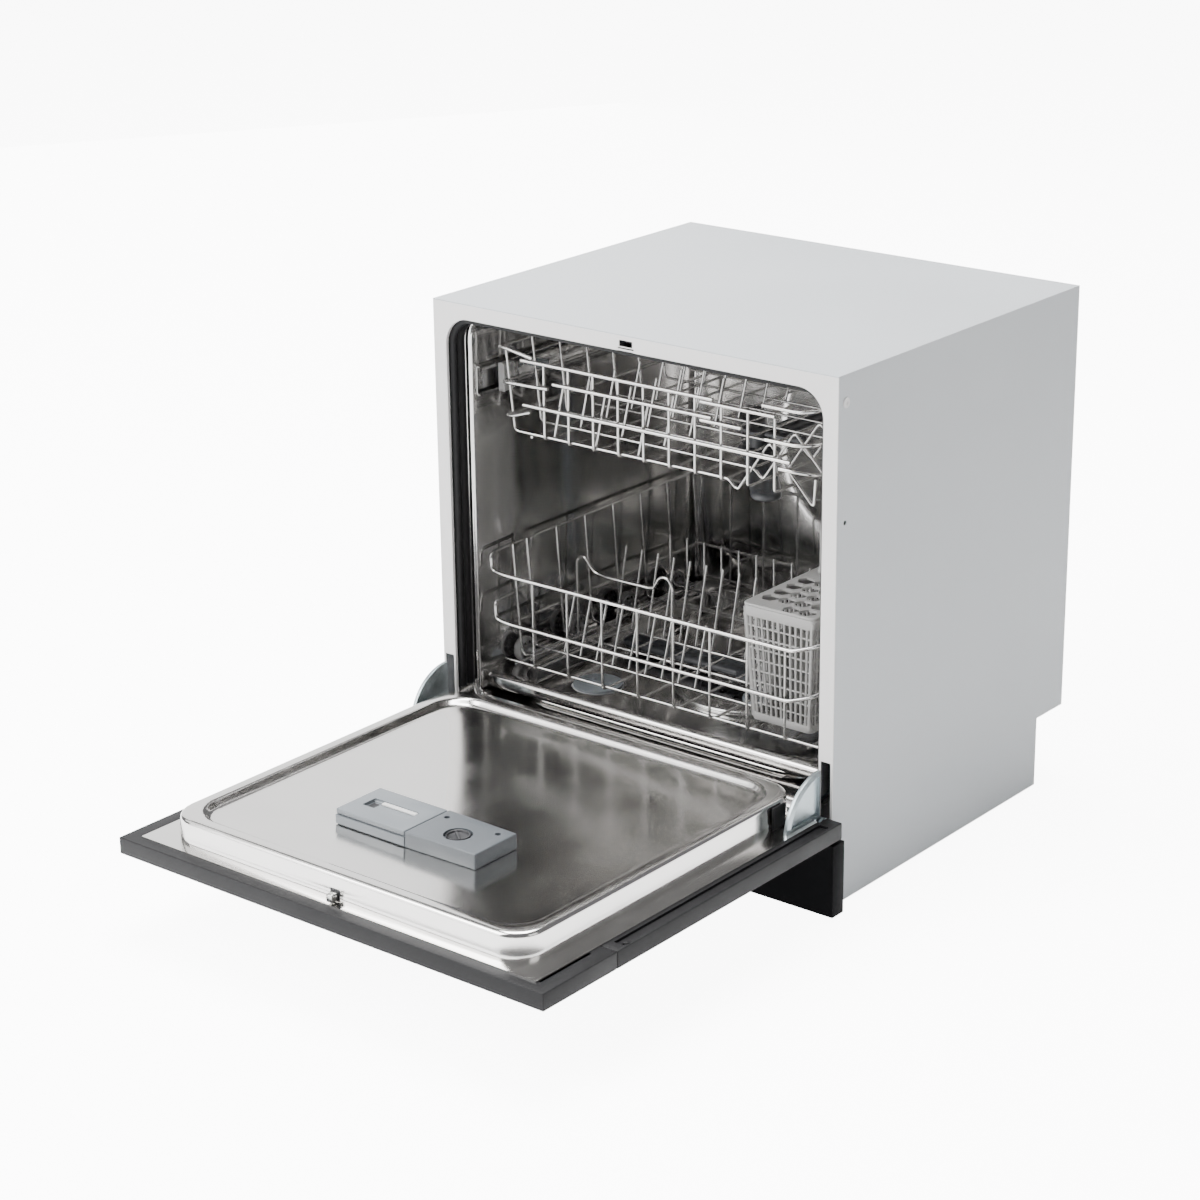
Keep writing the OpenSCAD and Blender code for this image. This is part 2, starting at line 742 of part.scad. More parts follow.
module lower_rack() {
    yf = rack_front;
    yb = rack_front + low_len;
    foot = low_half - 14;
    top_x = low_half - lay - 0.1;
    mid_z = low_top - 61;
    side_z = low_top - 93;
    mid_half = lean(foot - 1, low_base, top_x, low_top, mid_z) + lay + 0.15;
    side_half = lean(foot - 1, low_base, top_x, low_top, side_z) + lay + 0.15;
    color(coat) {
        rack_shell(yf, yb, 7, foot, low_half, low_base, low_top, low_top - 24, 9);
        // top rail with a step in each side
        front_rail(low_half, yf, low_top, low_top - 24, low_r);
        wire([low_half, yf + low_r + 6.6, low_top], [low_half, yf + 62, low_top], rail_r);
        wire([-low_half, yf + tight + 0.6, low_top], [-low_half, yf + 62, low_top], rail_r);
        both_sides() {
            wire([low_half, yf + 76, low_top], [low_half, yb, low_top], rail_r);
            wire([low_half, yf + 71.2, low_top - 13.4], [low_half, yf + 75.5, low_top - 3], rail_r);
            wire([low_half, yf + 60, low_top - 15], [low_half, yf + 70.8, low_top - 15], rail_r);
            wire([foot - 1, yf + 60, low_base + 8], [top_x, yf + 60, low_top + 2], wire_r);
        }
        wire([-foot + 1, yf + 35, low_base + 8], [-top_x, yf + 35, low_top], wire_r);
        // middle rail round the front and the lower rail along the sides and the back
        front_rail(mid_half, yf, mid_z, low_top - 84, low_r);
        wire([mid_half, yf + low_r + 6.6, mid_z], [mid_half, yf + 62, mid_z], rail_r);
        wire([-mid_half, yf + tight + 0.6, mid_z], [-mid_half, yf + 62, mid_z], rail_r);
        both_sides() wire([side_half, yf + 33, side_z], [side_half, yb, side_z], rail_r);
        wire([-side_half, yb + rail_r + e, side_z], [side_half, yb + rail_r + e, side_z], rail_r);
        // humped wire that steadies the plates
        path(guard_pts(foot, cross_y(2, 7, yf, yb) - wire_r - guard_r - e), guard_r, 0.66);
        for (x = [-1, -0.7, -0.35, 0, 0.35, 0.7, 1] * (foot - 16))
            wire([x, yf + 6, low_base - step], [x, yb - 2, low_base - step], wire_r);
        // axle stubs on their carrier bars
        both_sides() for (k = [0:3])
            translate([wheel_x - 10.5, wheel_y(k), wheel_z]) rotate([0, 90, 0]) cylinder(h = 23, r = axle_r);
        both_sides() for (k = [0, 2])
            span([wheel_x - 15.5, wheel_y(k) - 12, wheel_z - 8],
                [wheel_x - 10.55, wheel_y(k + 1) + 12, wheel_z + 0.5]);
        // fixed plate tines leaning on two of the cross wires
        for (x = [-foot + 34:24:bx0 - 104]) {
            wire([x, cross_y(3, 7, yf, yb) + step, low_base - wire_r / 2],
                [x, cross_y(3, 7, yf, yb) + step + 22, low_base + 96], wire_r);
            wire([x + 8, cross_y(1, 7, yf, yb) + step, low_base - wire_r / 2],
                [x + 8, cross_y(1, 7, yf, yb) + step + 22, low_base + 70], wire_r);
        }
    }
}

module wheel_row(k) {
    color([0.66, 0.66, 0.66]) both_sides() translate([wheel_x, wheel_y(k), wheel_z]) rotate([0, 90, 0])
    difference() {
        union() {
            cylinder(h = 12, r = wheel_r - 0.8);
            translate([0, 0, 3]) cylinder(h = 6, r = wheel_r);
        }
        translate([0, 0, -5]) cylinder(h = 30, r = axle_r + play);
        for (a = [0:60:300]) rotate([0, 0, a]) translate([8.5, 0, -5]) cylinder(h = 30, r = 2.4);
    }
}
module wheel_row_1() { wheel_row(0); }
module wheel_row_2() { wheel_row(1); }
module wheel_row_3() { wheel_row(2); }
module wheel_row_4() { wheel_row(3); }

module tine_row() {
    y = cross_y(5, 7, rack_front, rack_front + low_len);
    z = low_base + 2 * wire_r + 0.3;
    color(coat) {
        wire([-low_half + 42, y, z], [bx0 - 48, y, z], wire_r);
        for (x = [-low_half + 48:26:bx0 - 62])
            wire([x, y + step, z - 1], [x, y + step, z + 84], wire_r);
    }
}

module upper_rack() {
    yf = rack_front + 4;
    yb = yf + up_len;
    foot = up_half - 16;
    top_x = up_half - lay - 0.1;
    half_2 = lean(foot - 1, up_base, top_x, up_top, up_top - 40) + lay + 0.15;
    half_3 = lean(foot - 1, up_base, top_x, up_top, up_top - 78) + lay + 0.15;
    color(coat) {
        rack_shell(yf, yb, 8, foot, up_half, up_base, up_top, up_top - 14, 9);
        belt(up_half, yf, yb, up_top, up_top - 14, up_r);
        belt(half_2, yf, yb, up_top - 40, up_top - 33, up_r);
        belt(half_3, yf, yb, up_top - 78, up_top - 64, up_r);
        for (x = [-up_long, -2 * clip_x, -clip_x, clip_x, 2 * clip_x, up_long])
            wire([x, yf + 6, up_base - step], [x, yb - 2, up_base - step], wire_r);
        // cup tines and the folded wires along the right side
        for (i = [0:7]) {
            y = cross_y(i, 8, yf, yb);
            for (x = [-foot + 55:60:foot - 180])
                wire([x, y + step, up_base - wire_r / 2], [x + 14, y + step, up_base + 62], wire_r);
            wire([foot - 95, y + step, up_base - 1], [foot - 45, y + step, up_base + 52], wire_r);
            wire([foot - 21, y + step, up_base - 1], [foot - 39, y + step, up_base + 52], wire_r);
        }
        // pads that tie the runners to two of the side uprights
        both_sides() for (i = [1, 6]) {
            y = cross_y(i, 8, yf, yb) + step + wire_r + e;
            span([lean(foot - 1, up_base, top_x, up_top, slide_z) - 2, y, slide_z + 6.5],
                [main_half - 16.1, y + 16, slide_z + 12]);
        }
    }
}

module slide_inners() {
    color([0.72, 0.73, 0.73]) both_sides() difference() {
        along_y(slide_y + 20, rack_back - 5)
            translate([main_half - 12.7, slide_z]) square([6.6, slide_h - 6], center = true);
        span([main_half - 19, slide_y + 34, slide_z - 9], [main_half - 13, rack_back - 30, slide_z + 6]);
        translate([main_half - 19, rack_front + 134, slide_z + 10]) rotate([0, 90, 0])
            cylinder(h = 30, r = 3);
    }
}

module slide_caps() {
    color([0.8, 0.8, 0.79]) both_sides() difference() {
        span([main_half - 19.5, slide_y, slide_z - slide_h / 2 + 1],
            [main_half - 10, slide_y + 19.9, slide_z + slide_h / 2 + 1]);
        for (z = [-10:5:10])
            span([main_half - 21, slide_y + 4, slide_z + z],
                [main_half - 18.8, slide_y + 16, slide_z + z + 2]);
    }
}

module upper_feed() {
    y1 = tub_back - tub_t - e - 24.6;
    z = up_base - 18;
    color([0.55, 0.56, 0.57]) {
        translate([0, arm_cy + 11.05, z]) rotate([-90, 0, 0]) difference() {
            cylinder(h = y1 - arm_cy - 11.05, r = 9);
            translate([0, 0, 4]) cylinder(h = 250, r = 7);
        }
        translate([0, arm_cy, z - 20]) difference() {
            union() {
                cylinder(h = 10.8, r = post_r);
                translate([0, 0, -3]) cylinder(h = 3, r = 10);
            }
            translate([0, 0, -8]) cylinder(h = 12, r = 3);
        }
        translate([0, arm_cy, z - 9.1]) cylinder(h = 19, r = 11);
        both_sides() {
            span([clip_x - 4, arm_cy - 4, z + 6], [clip_x + 4, arm_cy + 4, z + 13.1]);
            span([11.05, arm_cy - 4, z + 6], [clip_x - 4 - e, arm_cy + 4, z + 9.4]);
        }
    }
}

module upper_arm() {
    color(grey) translate([0, arm_cy, 0]) rotate([0, 0, -arm_turn])
        arm(upper_reach, up_base - 37.9, up_base - 27.4, post_r + play);
}

// ---------------------------------------------------------------- cutlery basket

bx1 = low_half - 34;
bx0 = bx1 - basket_w;
by0 = rack_front + 20;
by1 = by0 + basket_l;
bz0 = low_base + wire_r + e;
bz1 = bz0 + low_h + 8;

// two crossing layers of flat bars, lower layer along Y
module bar_grid(z, t, nx, ny, w) {
    for (i = [0:nx]) {
        x = bx0 + 3.1 + i * (bx1 - bx0 - 6.2 - w) / nx;
        span([x, by0 + 3.1, z], [x + w, by1 - 3.1, z + t - e]);
    }
    for (j = [0:ny]) {
        y = by0 + 3.1 + j * (by1 - by0 - 6.2 - w) / ny;
        span([bx0 + 3.1, y, z + t], [bx1 - 3.1, y + w, z + 2 * t]);
    }
}

// four bars round the basket between two heights
module bar_ring(z0, z1) {
    for (x = [bx0, bx1 - 3]) span([x, by0, z0], [x + 3, by1, z1]);
    for (y = [by0, by1 - 3]) span([bx0 + 3 + e, y, z0], [bx1 - 3 - e, y + 3, z1]);
}

module basket_wall_x(x, n) {
    l = (by1 - by0 - 14) / n;
    for (i = [1:n - 1]) span([x, by0 + 6.2 + i * l, bz0 + 8 + e], [x + 1.6, by0 + 7.8 + i * l, bz1 - 14 - e]);
    for (z = [bz0 + 30:24:bz1 - 20]) span([x + 1.65, by0 + 6.1, z], [x + 2.9, by1 - 6.1, z + 1.6]);
}

module basket_wall_y(y, n) {
    l = (bx1 - bx0 - 14) / n;
    for (i = [1:n - 1]) span([bx0 + 6.2 + i * l, y, bz0 + 8 + e], [bx0 + 7.8 + i * l, y + 1.6, bz1 - 14 - e]);
}

module basket() {
    color([0.8, 0.8, 0.8]) {
        bar_ring(bz0, bz0 + 8);
        bar_ring(bz1 - 14, bz1 - 3);
        bar_grid(bz0 + 1, 1.4, 6, 16, 2);
        for (x = [bx0, bx1 - 6], y = [by0, by1 - 6]) span([x, y, bz0 + 8 + e], [x + 6, y + 6, bz1 - 14 - e]);
        basket_wall_x(bx0 + 0.2, 20);
        mirror_x() basket_wall_x(bx0 + 0.2, 20);
        basket_wall_y(by0 + 0.2, 8);
        basket_wall_y(by1 - 1.8, 8);
        span([bx0 + 3.1, (by0 + by1) / 2 - 1, bz0 + 4], [bx1 - 3.1, (by0 + by1) / 2 + 1, bz1 - 20]);
    }
}

// mirror across the middle of the basket's width
module mirror_x() {
    translate([bx0 + bx1, 0, 0]) mirror([1, 0, 0]) children();
}

module basket_lid() {
    xm = (bx0 + bx1) / 2;
    ym = (by0 + by1) / 2;
    color([0.8, 0.8, 0.8]) {
        bar_ring(bz1 - 3 + e, bz1);
        bar_grid(bz1 - 3 + e, 1.4, 5, 14, 3);
        for (s = [-1, 1]) translate([xm + s * (handle_leg - 5.3), ym, bz1 + 5.4]) rotate([0, 90, 0])
        difference() {
            union() {
                translate([0, 0, -2]) cylinder(h = 4, r = 4.6);
                translate([0, -4.6, -2]) cube([5.5, 9.2, 4]);
            }
            translate([0, 0, -5]) cylinder(h = 10, r = 2 + play);
        }
    }
}

module basket_handle() {
    xm = (bx0 + bx1) / 2;
    ym = (by0 + by1) / 2;
    color([0.82, 0.82, 0.82]) {
        for (s = [-1, 1]) {
            translate([xm + s * handle_leg, ym, bz1 + 5.4]) rotate([0, 90, 0])
                cylinder(h = 6, r = 5, center = true);
            translate([xm + s * (handle_leg - 5.3), ym, bz1 + 5.4]) rotate([0, 90, 0])
                cylinder(h = 4.7, r = 2, center = true);
            span([xm + s * handle_leg - 3, ym - 3.5, bz1 + 9],
                [xm + s * handle_leg + 3, ym + 3.5, bz1 + handle_h - 6]);
        }
        span([xm - handle_leg - 3, ym - 3.5, bz1 + handle_h - 6],
            [xm + handle_leg + 3, ym + 3.5, bz1 + handle_h]);
    }
}

// ---------------------------------------------------------------- output

module place() {
    translate([0, frame_dy, 0]) children();
}

place() side_panels();
place() top_panel();
place() front_flange();
place() back_panel();
place() base_tray();
place() feet();
place() panel_screws();
place() tub();
place() wheel_tracks();
place() door_gasket();
place() strike();
place() plinth();
place() hinge_brackets();
place() slide_outers();
place() slide_middles();
place() sump();
place() filter_plate();
place() filter_cup();
place() lower_arm();
place() heater();
place() circulation_pump();
place() drain_pump();
place() softener();
place() salt_cap();
place() inlet_valve();
place() drain_stub();
place() cable_gland();
place() feed_duct();
place() door_panel();
place() control_panel();
place() door_fill();
place() door_pan();
place() hinge_arms();
place() pan_baffles();
place() door_buffers();
place() display_window();
place() button_1();
place() button_2();
place() button_3();
place() power_button();
place() latch_case();
place() latch_tongue();
place() dispenser();
place() dispenser_lid();
place() rinse_cap();
place() upper_rack();
place() slide_inners();
place() slide_caps();
place() upper_arm();
place() upper_feed();
place() lower_rack();
place() wheel_row_1();
place() wheel_row_2();
place() wheel_row_3();
place() wheel_row_4();
place() tine_row();
place() basket();
place() basket_lid();
place() basket_handle();
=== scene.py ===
"""Looks of a compact front-loading dishwasher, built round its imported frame.

Sizes are in millimetres in the cabinet's own frame: x runs across the width,
y runs back from the front flange and z runs up from the floor.
"""

import logging
import math
from dataclasses import dataclass
from enum import Enum
from typing import Callable, Sequence, Union

import bmesh
import bpy
from mathutils import Matrix, Vector


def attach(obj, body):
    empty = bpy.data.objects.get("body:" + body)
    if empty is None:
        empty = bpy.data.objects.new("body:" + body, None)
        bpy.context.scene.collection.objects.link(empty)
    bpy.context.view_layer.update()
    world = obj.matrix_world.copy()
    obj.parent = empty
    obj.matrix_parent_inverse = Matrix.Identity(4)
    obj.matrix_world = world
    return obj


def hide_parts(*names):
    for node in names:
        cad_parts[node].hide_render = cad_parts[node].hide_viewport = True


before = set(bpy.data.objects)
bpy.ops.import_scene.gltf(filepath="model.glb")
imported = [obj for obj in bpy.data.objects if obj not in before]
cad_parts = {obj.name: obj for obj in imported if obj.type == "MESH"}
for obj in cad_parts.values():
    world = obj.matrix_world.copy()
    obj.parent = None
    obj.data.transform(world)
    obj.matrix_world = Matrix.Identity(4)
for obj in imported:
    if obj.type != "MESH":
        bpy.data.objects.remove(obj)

LOG = logging.getLogger("dishwasher")
MM = 0.001
FLANGE_Y = 11.5
NOISE_RANGE = (0.3, 0.7)
Object = bpy.types.Object
Point = tuple[float, float, float]
Span = tuple[float, float]


def at(x: float, y: float, z: float) -> Vector:
    """Place of a point given in millimetres, in metres in the shared frame."""
    return Vector((x * MM, (y + FLANGE_Y) * MM, z * MM))


# ------------------------------------------------------------------ shader maths


class Num:
    """A number socket that takes part in Python expressions."""

    def __init__(self, net: "Net", socket: bpy.types.NodeSocket) -> None:
        """Wraps one output socket of a net."""
        self.net = net
        self.socket = socket

    def _math(self, operation: str, first: "Value", second: "Value") -> "Num":
        """One Math node on two values."""
        node = self.net.node("ShaderNodeMath", {"operation": operation}, {0: first, 1: second})
        return Num(self.net, node.outputs[0])

    def __add__(self, other: "Value") -> "Num":
        """This number plus another."""
        return self._math("ADD", self, other)

    __radd__ = __add__

    def __mul__(self, other: "Value") -> "Num":
        """This number times another."""
        return self._math("MULTIPLY", self, other)

    __rmul__ = __mul__

    def __sub__(self, other: "Value") -> "Num":
        """This number less another."""
        return self._math("SUBTRACT", self, other)

    def __rsub__(self, other: "Value") -> "Num":
        """Another number less this one."""
        return self._math("SUBTRACT", other, self)

    def at_least(self, other: "Value") -> "Num":
        """The larger of this number and another."""
        return self._math("MAXIMUM", self, other)

    def map(self, low: float, high: float, to_low: float, to_high: float) -> "Num":
        """This number carried from one range to another, held inside it."""
        node = self.net.node("ShaderNodeMapRange", {"clamp": True},
            {"Value": self, "From Min": low, "From Max": high, "To Min": to_low, "To Max": to_high})
        return Num(self.net, node.outputs["Result"])


Value = Union[Num, bpy.types.NodeSocket, float, Sequence[float]]


class Net:
    """The node tree of one material."""

    def __init__(self, name: str) -> None:
        """Starts a material whose tree holds only the surface shader.

        Args:
            name: The material's name.
        """
        self.material = bpy.data.materials.new(name)
        self.material.use_nodes = True
        self.tree = self.material.node_tree
        self.surface = self.tree.nodes["Principled BSDF"]

    def node(self, kind: str, settings: dict[str, object], sockets: dict[object, Value]) -> bpy.types.Node:
        """Adds one node.

        Args:
            kind: The node's type.
            settings: Its properties, by name, which are set first.
            sockets: Values or links of its inputs, by name or number.

        Returns:
            The node.
        """
        node = self.tree.nodes.new(kind)
        for key, value in settings.items():
            setattr(node, key, value)
        for key, value in sockets.items():
            self._feed(node.inputs[key], value)
        return node

    def _feed(self, socket: bpy.types.NodeSocket, value: Value) -> None:
        """Links or sets one input.

        Args:
            socket: The input.
            value: A number, a colour or a vector to set, or an output to link.
        """
        if isinstance(value, Num):
            value = value.socket
        if isinstance(value, bpy.types.NodeSocket):
            self.tree.links.new(value, socket)
        elif socket.type == "RGBA" and len(value) == 3:
            socket.default_value = (*value, 1.0)
        else:
            socket.default_value = value

    def place(self, scale: Point = (1.0, 1.0, 1.0)) -> bpy.types.NodeSocket:
        """Object coordinates in metres, stretched along each axis.

        Args:
            scale: The stretch along x, y and z.

        Returns:
            The stretched coordinates.
        """
        coords = self.node("ShaderNodeTexCoord", {}, {})
        mapping = self.node("ShaderNodeMapping", {}, {"Vector": coords.outputs["Object"], "Scale": scale})
        return mapping.outputs["Vector"]

    def noise(self, scale: float, detail: float = 3.0, stretch: Point = (1.0, 1.0, 1.0)) -> Num:
        """A noise between 0 and 1 with scale spots to the metre."""
        node = self.node("ShaderNodeTexNoise", {},
            {"Vector": self.place(stretch), "Scale": scale, "Detail": detail, "Roughness": 0.55})
        return Num(self, node.outputs["Fac"])

    def cells(self, scale: float) -> Num:
        """A random level for each cell of a crystal pattern.

        Args:
            scale: How many cells there are to the metre.

        Returns:
            A level between 0 and 1.
        """
        node = self.node("ShaderNodeTexVoronoi", {}, {"Vector": self.place(), "Scale": scale})
        split = self.node("ShaderNodeSeparateColor", {}, {"Color": node.outputs["Color"]})
        return Num(self, split.outputs[0])

    def blend(self, factor: Value, low: Sequence[float], high: Sequence[float]) -> bpy.types.NodeSocket:
        """A colour between two others."""
        node = self.node("ShaderNodeMix", {"data_type": "RGBA"}, {0: factor, 6: (*low, 1.0), 7: (*high, 1.0)})
        return node.outputs[2]

    def bump(self, height: Num, distance: float) -> bpy.types.NodeSocket:
        """A surface normal tilted by a height of so many metres."""
        node = self.node("ShaderNodeBump", {}, {"Height": height, "Distance": distance})
        return node.outputs["Normal"]

    def shade(self, sockets: dict[str, Value]) -> bpy.types.Material:
        """Feeds the surface shader.

        Args:
            sockets: Values or links of the shader's inputs, by name.

        Returns:
            The material.
        """
        for key, value in sockets.items():
            self._feed(self.surface.inputs[key], value)
        return self.material


# ------------------------------------------------------------------ finishes


@dataclass(frozen=True)
class Finish:
    """A finish and the record's slot that it belongs to."""

    name: str
    slot: str
    colour: Point
    rough: float = 0.4

    def make(self) -> bpy.types.Material:
        """Builds the material once and returns it after that."""
        found = bpy.data.materials.get(self.name)
        return found or self.paint(Net(self.name))

    def shades(self, spread: float) -> tuple[Point, Point]:
        """The colour a little darker and a little lighter.

        Args:
            spread: How far each lies from the colour, as a share of it.

        Returns:
            The darker and the lighter colour.
        """
        dark = tuple(c * (1.0 - spread) for c in self.colour)
        light = tuple(min(1.0, c * (1.0 + spread)) for c in self.colour)
        return dark, light

    def paint(self, net: Net) -> bpy.types.Material:
        """Fills the net; each kind of finish has its own way."""
        raise NotImplementedError


@dataclass(frozen=True)
class Enamel(Finish):
    """Baked paint with a faint orange peel."""

    peel: float = 0.00002

    def paint(self, net: Net) -> bpy.types.Material:
        """Soft drifts of tone over a fine ripple.

        Args:
            net: The tree to fill.

        Returns:
            The finished material.
        """
        drift = net.noise(5.0, 2.0)
        peel = net.noise(520.0, 2.0)
        return net.shade({
            "Base Color": net.blend(drift, *self.shades(0.018)),
            "Roughness": drift.map(*NOISE_RANGE, self.rough - 0.04, self.rough + 0.05),
            "Normal": net.bump(peel, self.peel),
            "IOR": 1.48,
        })


@dataclass(frozen=True)
class Sheet(Finish):
    """Polished stainless sheet, drawn and slightly wavy."""

    wave: float = 0.0006
    grain: Point = (1.0, 60.0, 60.0)

    def paint(self, net: Net) -> bpy.types.Material:
        """Fine rolling lines over the broad waves that pressing leaves.

        Args:
            net: The tree to fill.

        Returns:
            The finished material.
        """
        lines = net.noise(22.0, 4.0, self.grain)
        waves = net.noise(4.0, 0.6)
        smear = net.noise(17.0, 3.0)
        polish = lines * 0.5 + smear * 0.5
        return net.shade({
            "Base Color": net.blend(smear, *self.shades(0.05)),
            "Metallic": 1.0,
            "Roughness": polish.map(*NOISE_RANGE, self.rough - 0.05, self.rough + 0.07),
            "Normal": net.bump(waves, self.wave),
        })


@dataclass(frozen=True)
class Wire(Finish):
    """Bright drawn wire with a thin coat."""

    metal: float = 0.8
    marks: float = 0.00003

    def paint(self, net: Net) -> bpy.types.Material:
        """Faint drawing marks and slightly dull patches.

        Args:
            net: The tree to fill.

        Returns:
            The finished material.
        """
        patches = net.noise(60.0, 3.0)
        marks = net.noise(900.0, 2.0)
        return net.shade({
            "Base Color": net.blend(patches, *self.shades(0.09)),
            "Metallic": self.metal,
            "Roughness": patches.map(*NOISE_RANGE, self.rough - 0.05, self.rough + 0.08),
            "Normal": net.bump(marks, self.marks),
        })


@dataclass(frozen=True)
class Moulded(Finish):
    """Moulded plastic with an eroded grain."""

    grain: float = 0.00004
    shine: float = 0.5

    def paint(self, net: Net) -> bpy.types.Material:
        """Fine grain, a slow drift of tone and duller handled spots.

        Args:
            net: The tree to fill.

        Returns:
            The finished material.
        """
        grain = net.noise(1500.0, 2.0)
        drift = net.noise(14.0, 3.0)
        return net.shade({
            "Base Color": net.blend(drift, *self.shades(0.05)),
            "Roughness": drift.map(*NOISE_RANGE, self.rough - 0.05, self.rough + 0.06),
            "Specular IOR Level": self.shine,
            "Normal": net.bump(grain, self.grain),
        })


@dataclass(frozen=True)
class Zinc(Finish):
    """Passivated zinc plate with a cool spangle."""

    metal: float = 0.9
    marks: float = 0.00003

    def paint(self, net: Net) -> bpy.types.Material:
        """Crystals of slightly different tone and dullness.

        Args:
            net: The tree to fill.

        Returns:
            The finished material.
        """
        spangle = net.cells(260.0)
        marks = net.noise(700.0, 3.0)
        return net.shade({
            "Base Color": net.blend(spangle, *self.shades(0.05)),
            "Metallic": self.metal,
            "Roughness": spangle.map(0.0, 1.0, self.rough - 0.06, self.rough + 0.1),
            "Normal": net.bump(marks, self.marks),
        })


class Looks(Enum):
    """Every finish on the machine."""

    CASE = Enamel("case_paint", "grey_paint", (0.565, 0.59, 0.612), 0.42)
    FLANGE = Enamel("flange_enamel", "flange_paint", (0.79, 0.775, 0.77), 0.34)
    STEEL = Sheet("tub_steel", "stainless", (0.62, 0.61, 0.60), 0.12, 0.00035)
    PAN = Sheet("pan_steel", "stainless", (0.80, 0.785, 0.765), 0.15, 0.0002, (60.0, 1.0, 60.0))
    COAT = Wire("rack_wire", "wire_coating", (0.47, 0.465, 0.455), 0.17, 0.9)
    RAIL = Wire("runner_steel", "slide_steel", (0.50, 0.50, 0.49), 0.2, 1.0)
    HINGE = Zinc("hinge_zinc", "hinge_steel", (0.42, 0.475, 0.495), 0.34)
    FRAME = Moulded("frame_black", "black_plastic", (0.006, 0.006, 0.007), 0.5, shine=0.04)
    EDGE = Moulded("door_black", "black_plastic", (0.019, 0.019, 0.020), 0.45, shine=0.15)
    GLOSS = Moulded("front_black", "black_gloss", (0.006, 0.006, 0.007), 0.16, 0.000002, shine=0.12)
    DARK = Moulded("moulded_dark", "dark_plastic", (0.030, 0.030, 0.033), 0.45)
    RUBBER = Moulded("seal_rubber", "black_rubber", (0.012, 0.012, 0.013), 0.55, 0.00006, shine=0.2)
    GREY = Moulded("moulded_grey", "grey_plastic", (0.19, 0.208, 0.225), 0.42)
    SLATE = Moulded("moulded_slate", "grey_plastic", (0.100, 0.111, 0.122), 0.42)
    ARM = Moulded("moulded_arm", "grey_plastic", (0.040, 0.043, 0.047), 0.4)
    BASKET = Moulded("basket_plastic", "light_plastic", (0.36, 0.357, 0.35), 0.42)
    CAP = Moulded("cap_plastic", "light_plastic", (0.36, 0.36, 0.355), 0.36)
    WHEEL = Moulded("wheel_plastic", "light_plastic", (0.25, 0.25, 0.247), 0.3)
    WHITE = Moulded("moulded_white", "white_plastic", (0.74, 0.735, 0.72), 0.38)
    BLUE = Moulded("pump_plastic", "blue_plastic", (0.07, 0.17, 0.30), 0.4)
    PRINT = Moulded("print_grey", "white_plastic", (0.62, 0.62, 0.62), 0.4, 0.000002)
    DAMP = Moulded("damping_mat", "bitumen", (0.035, 0.033, 0.031), 0.8, 0.0004)


# ------------------------------------------------------------------ modelling bench


@dataclass(frozen=True)
class Outline:
    """A rounded rectangle at one level: u and v are its own axes."""

    u: Span
    v: Span
    level: float
    r_low: float
    r_high: float

    @staticmethod
    def even(half: float, v: Span, level: float, r: float) -> "Outline":
        """An outline centred across u with one radius."""
        return Outline((-half, half), v, level, r, r)


class Plane(Enum):
    """Which way a stack of outlines lies."""

    TOP = 0
    FRONT = 1


class Axis(Enum):
    """The line that a piece is turned about, by how far it is tipped from upright."""

    UP = 0.0
    ACROSS = math.pi / 2


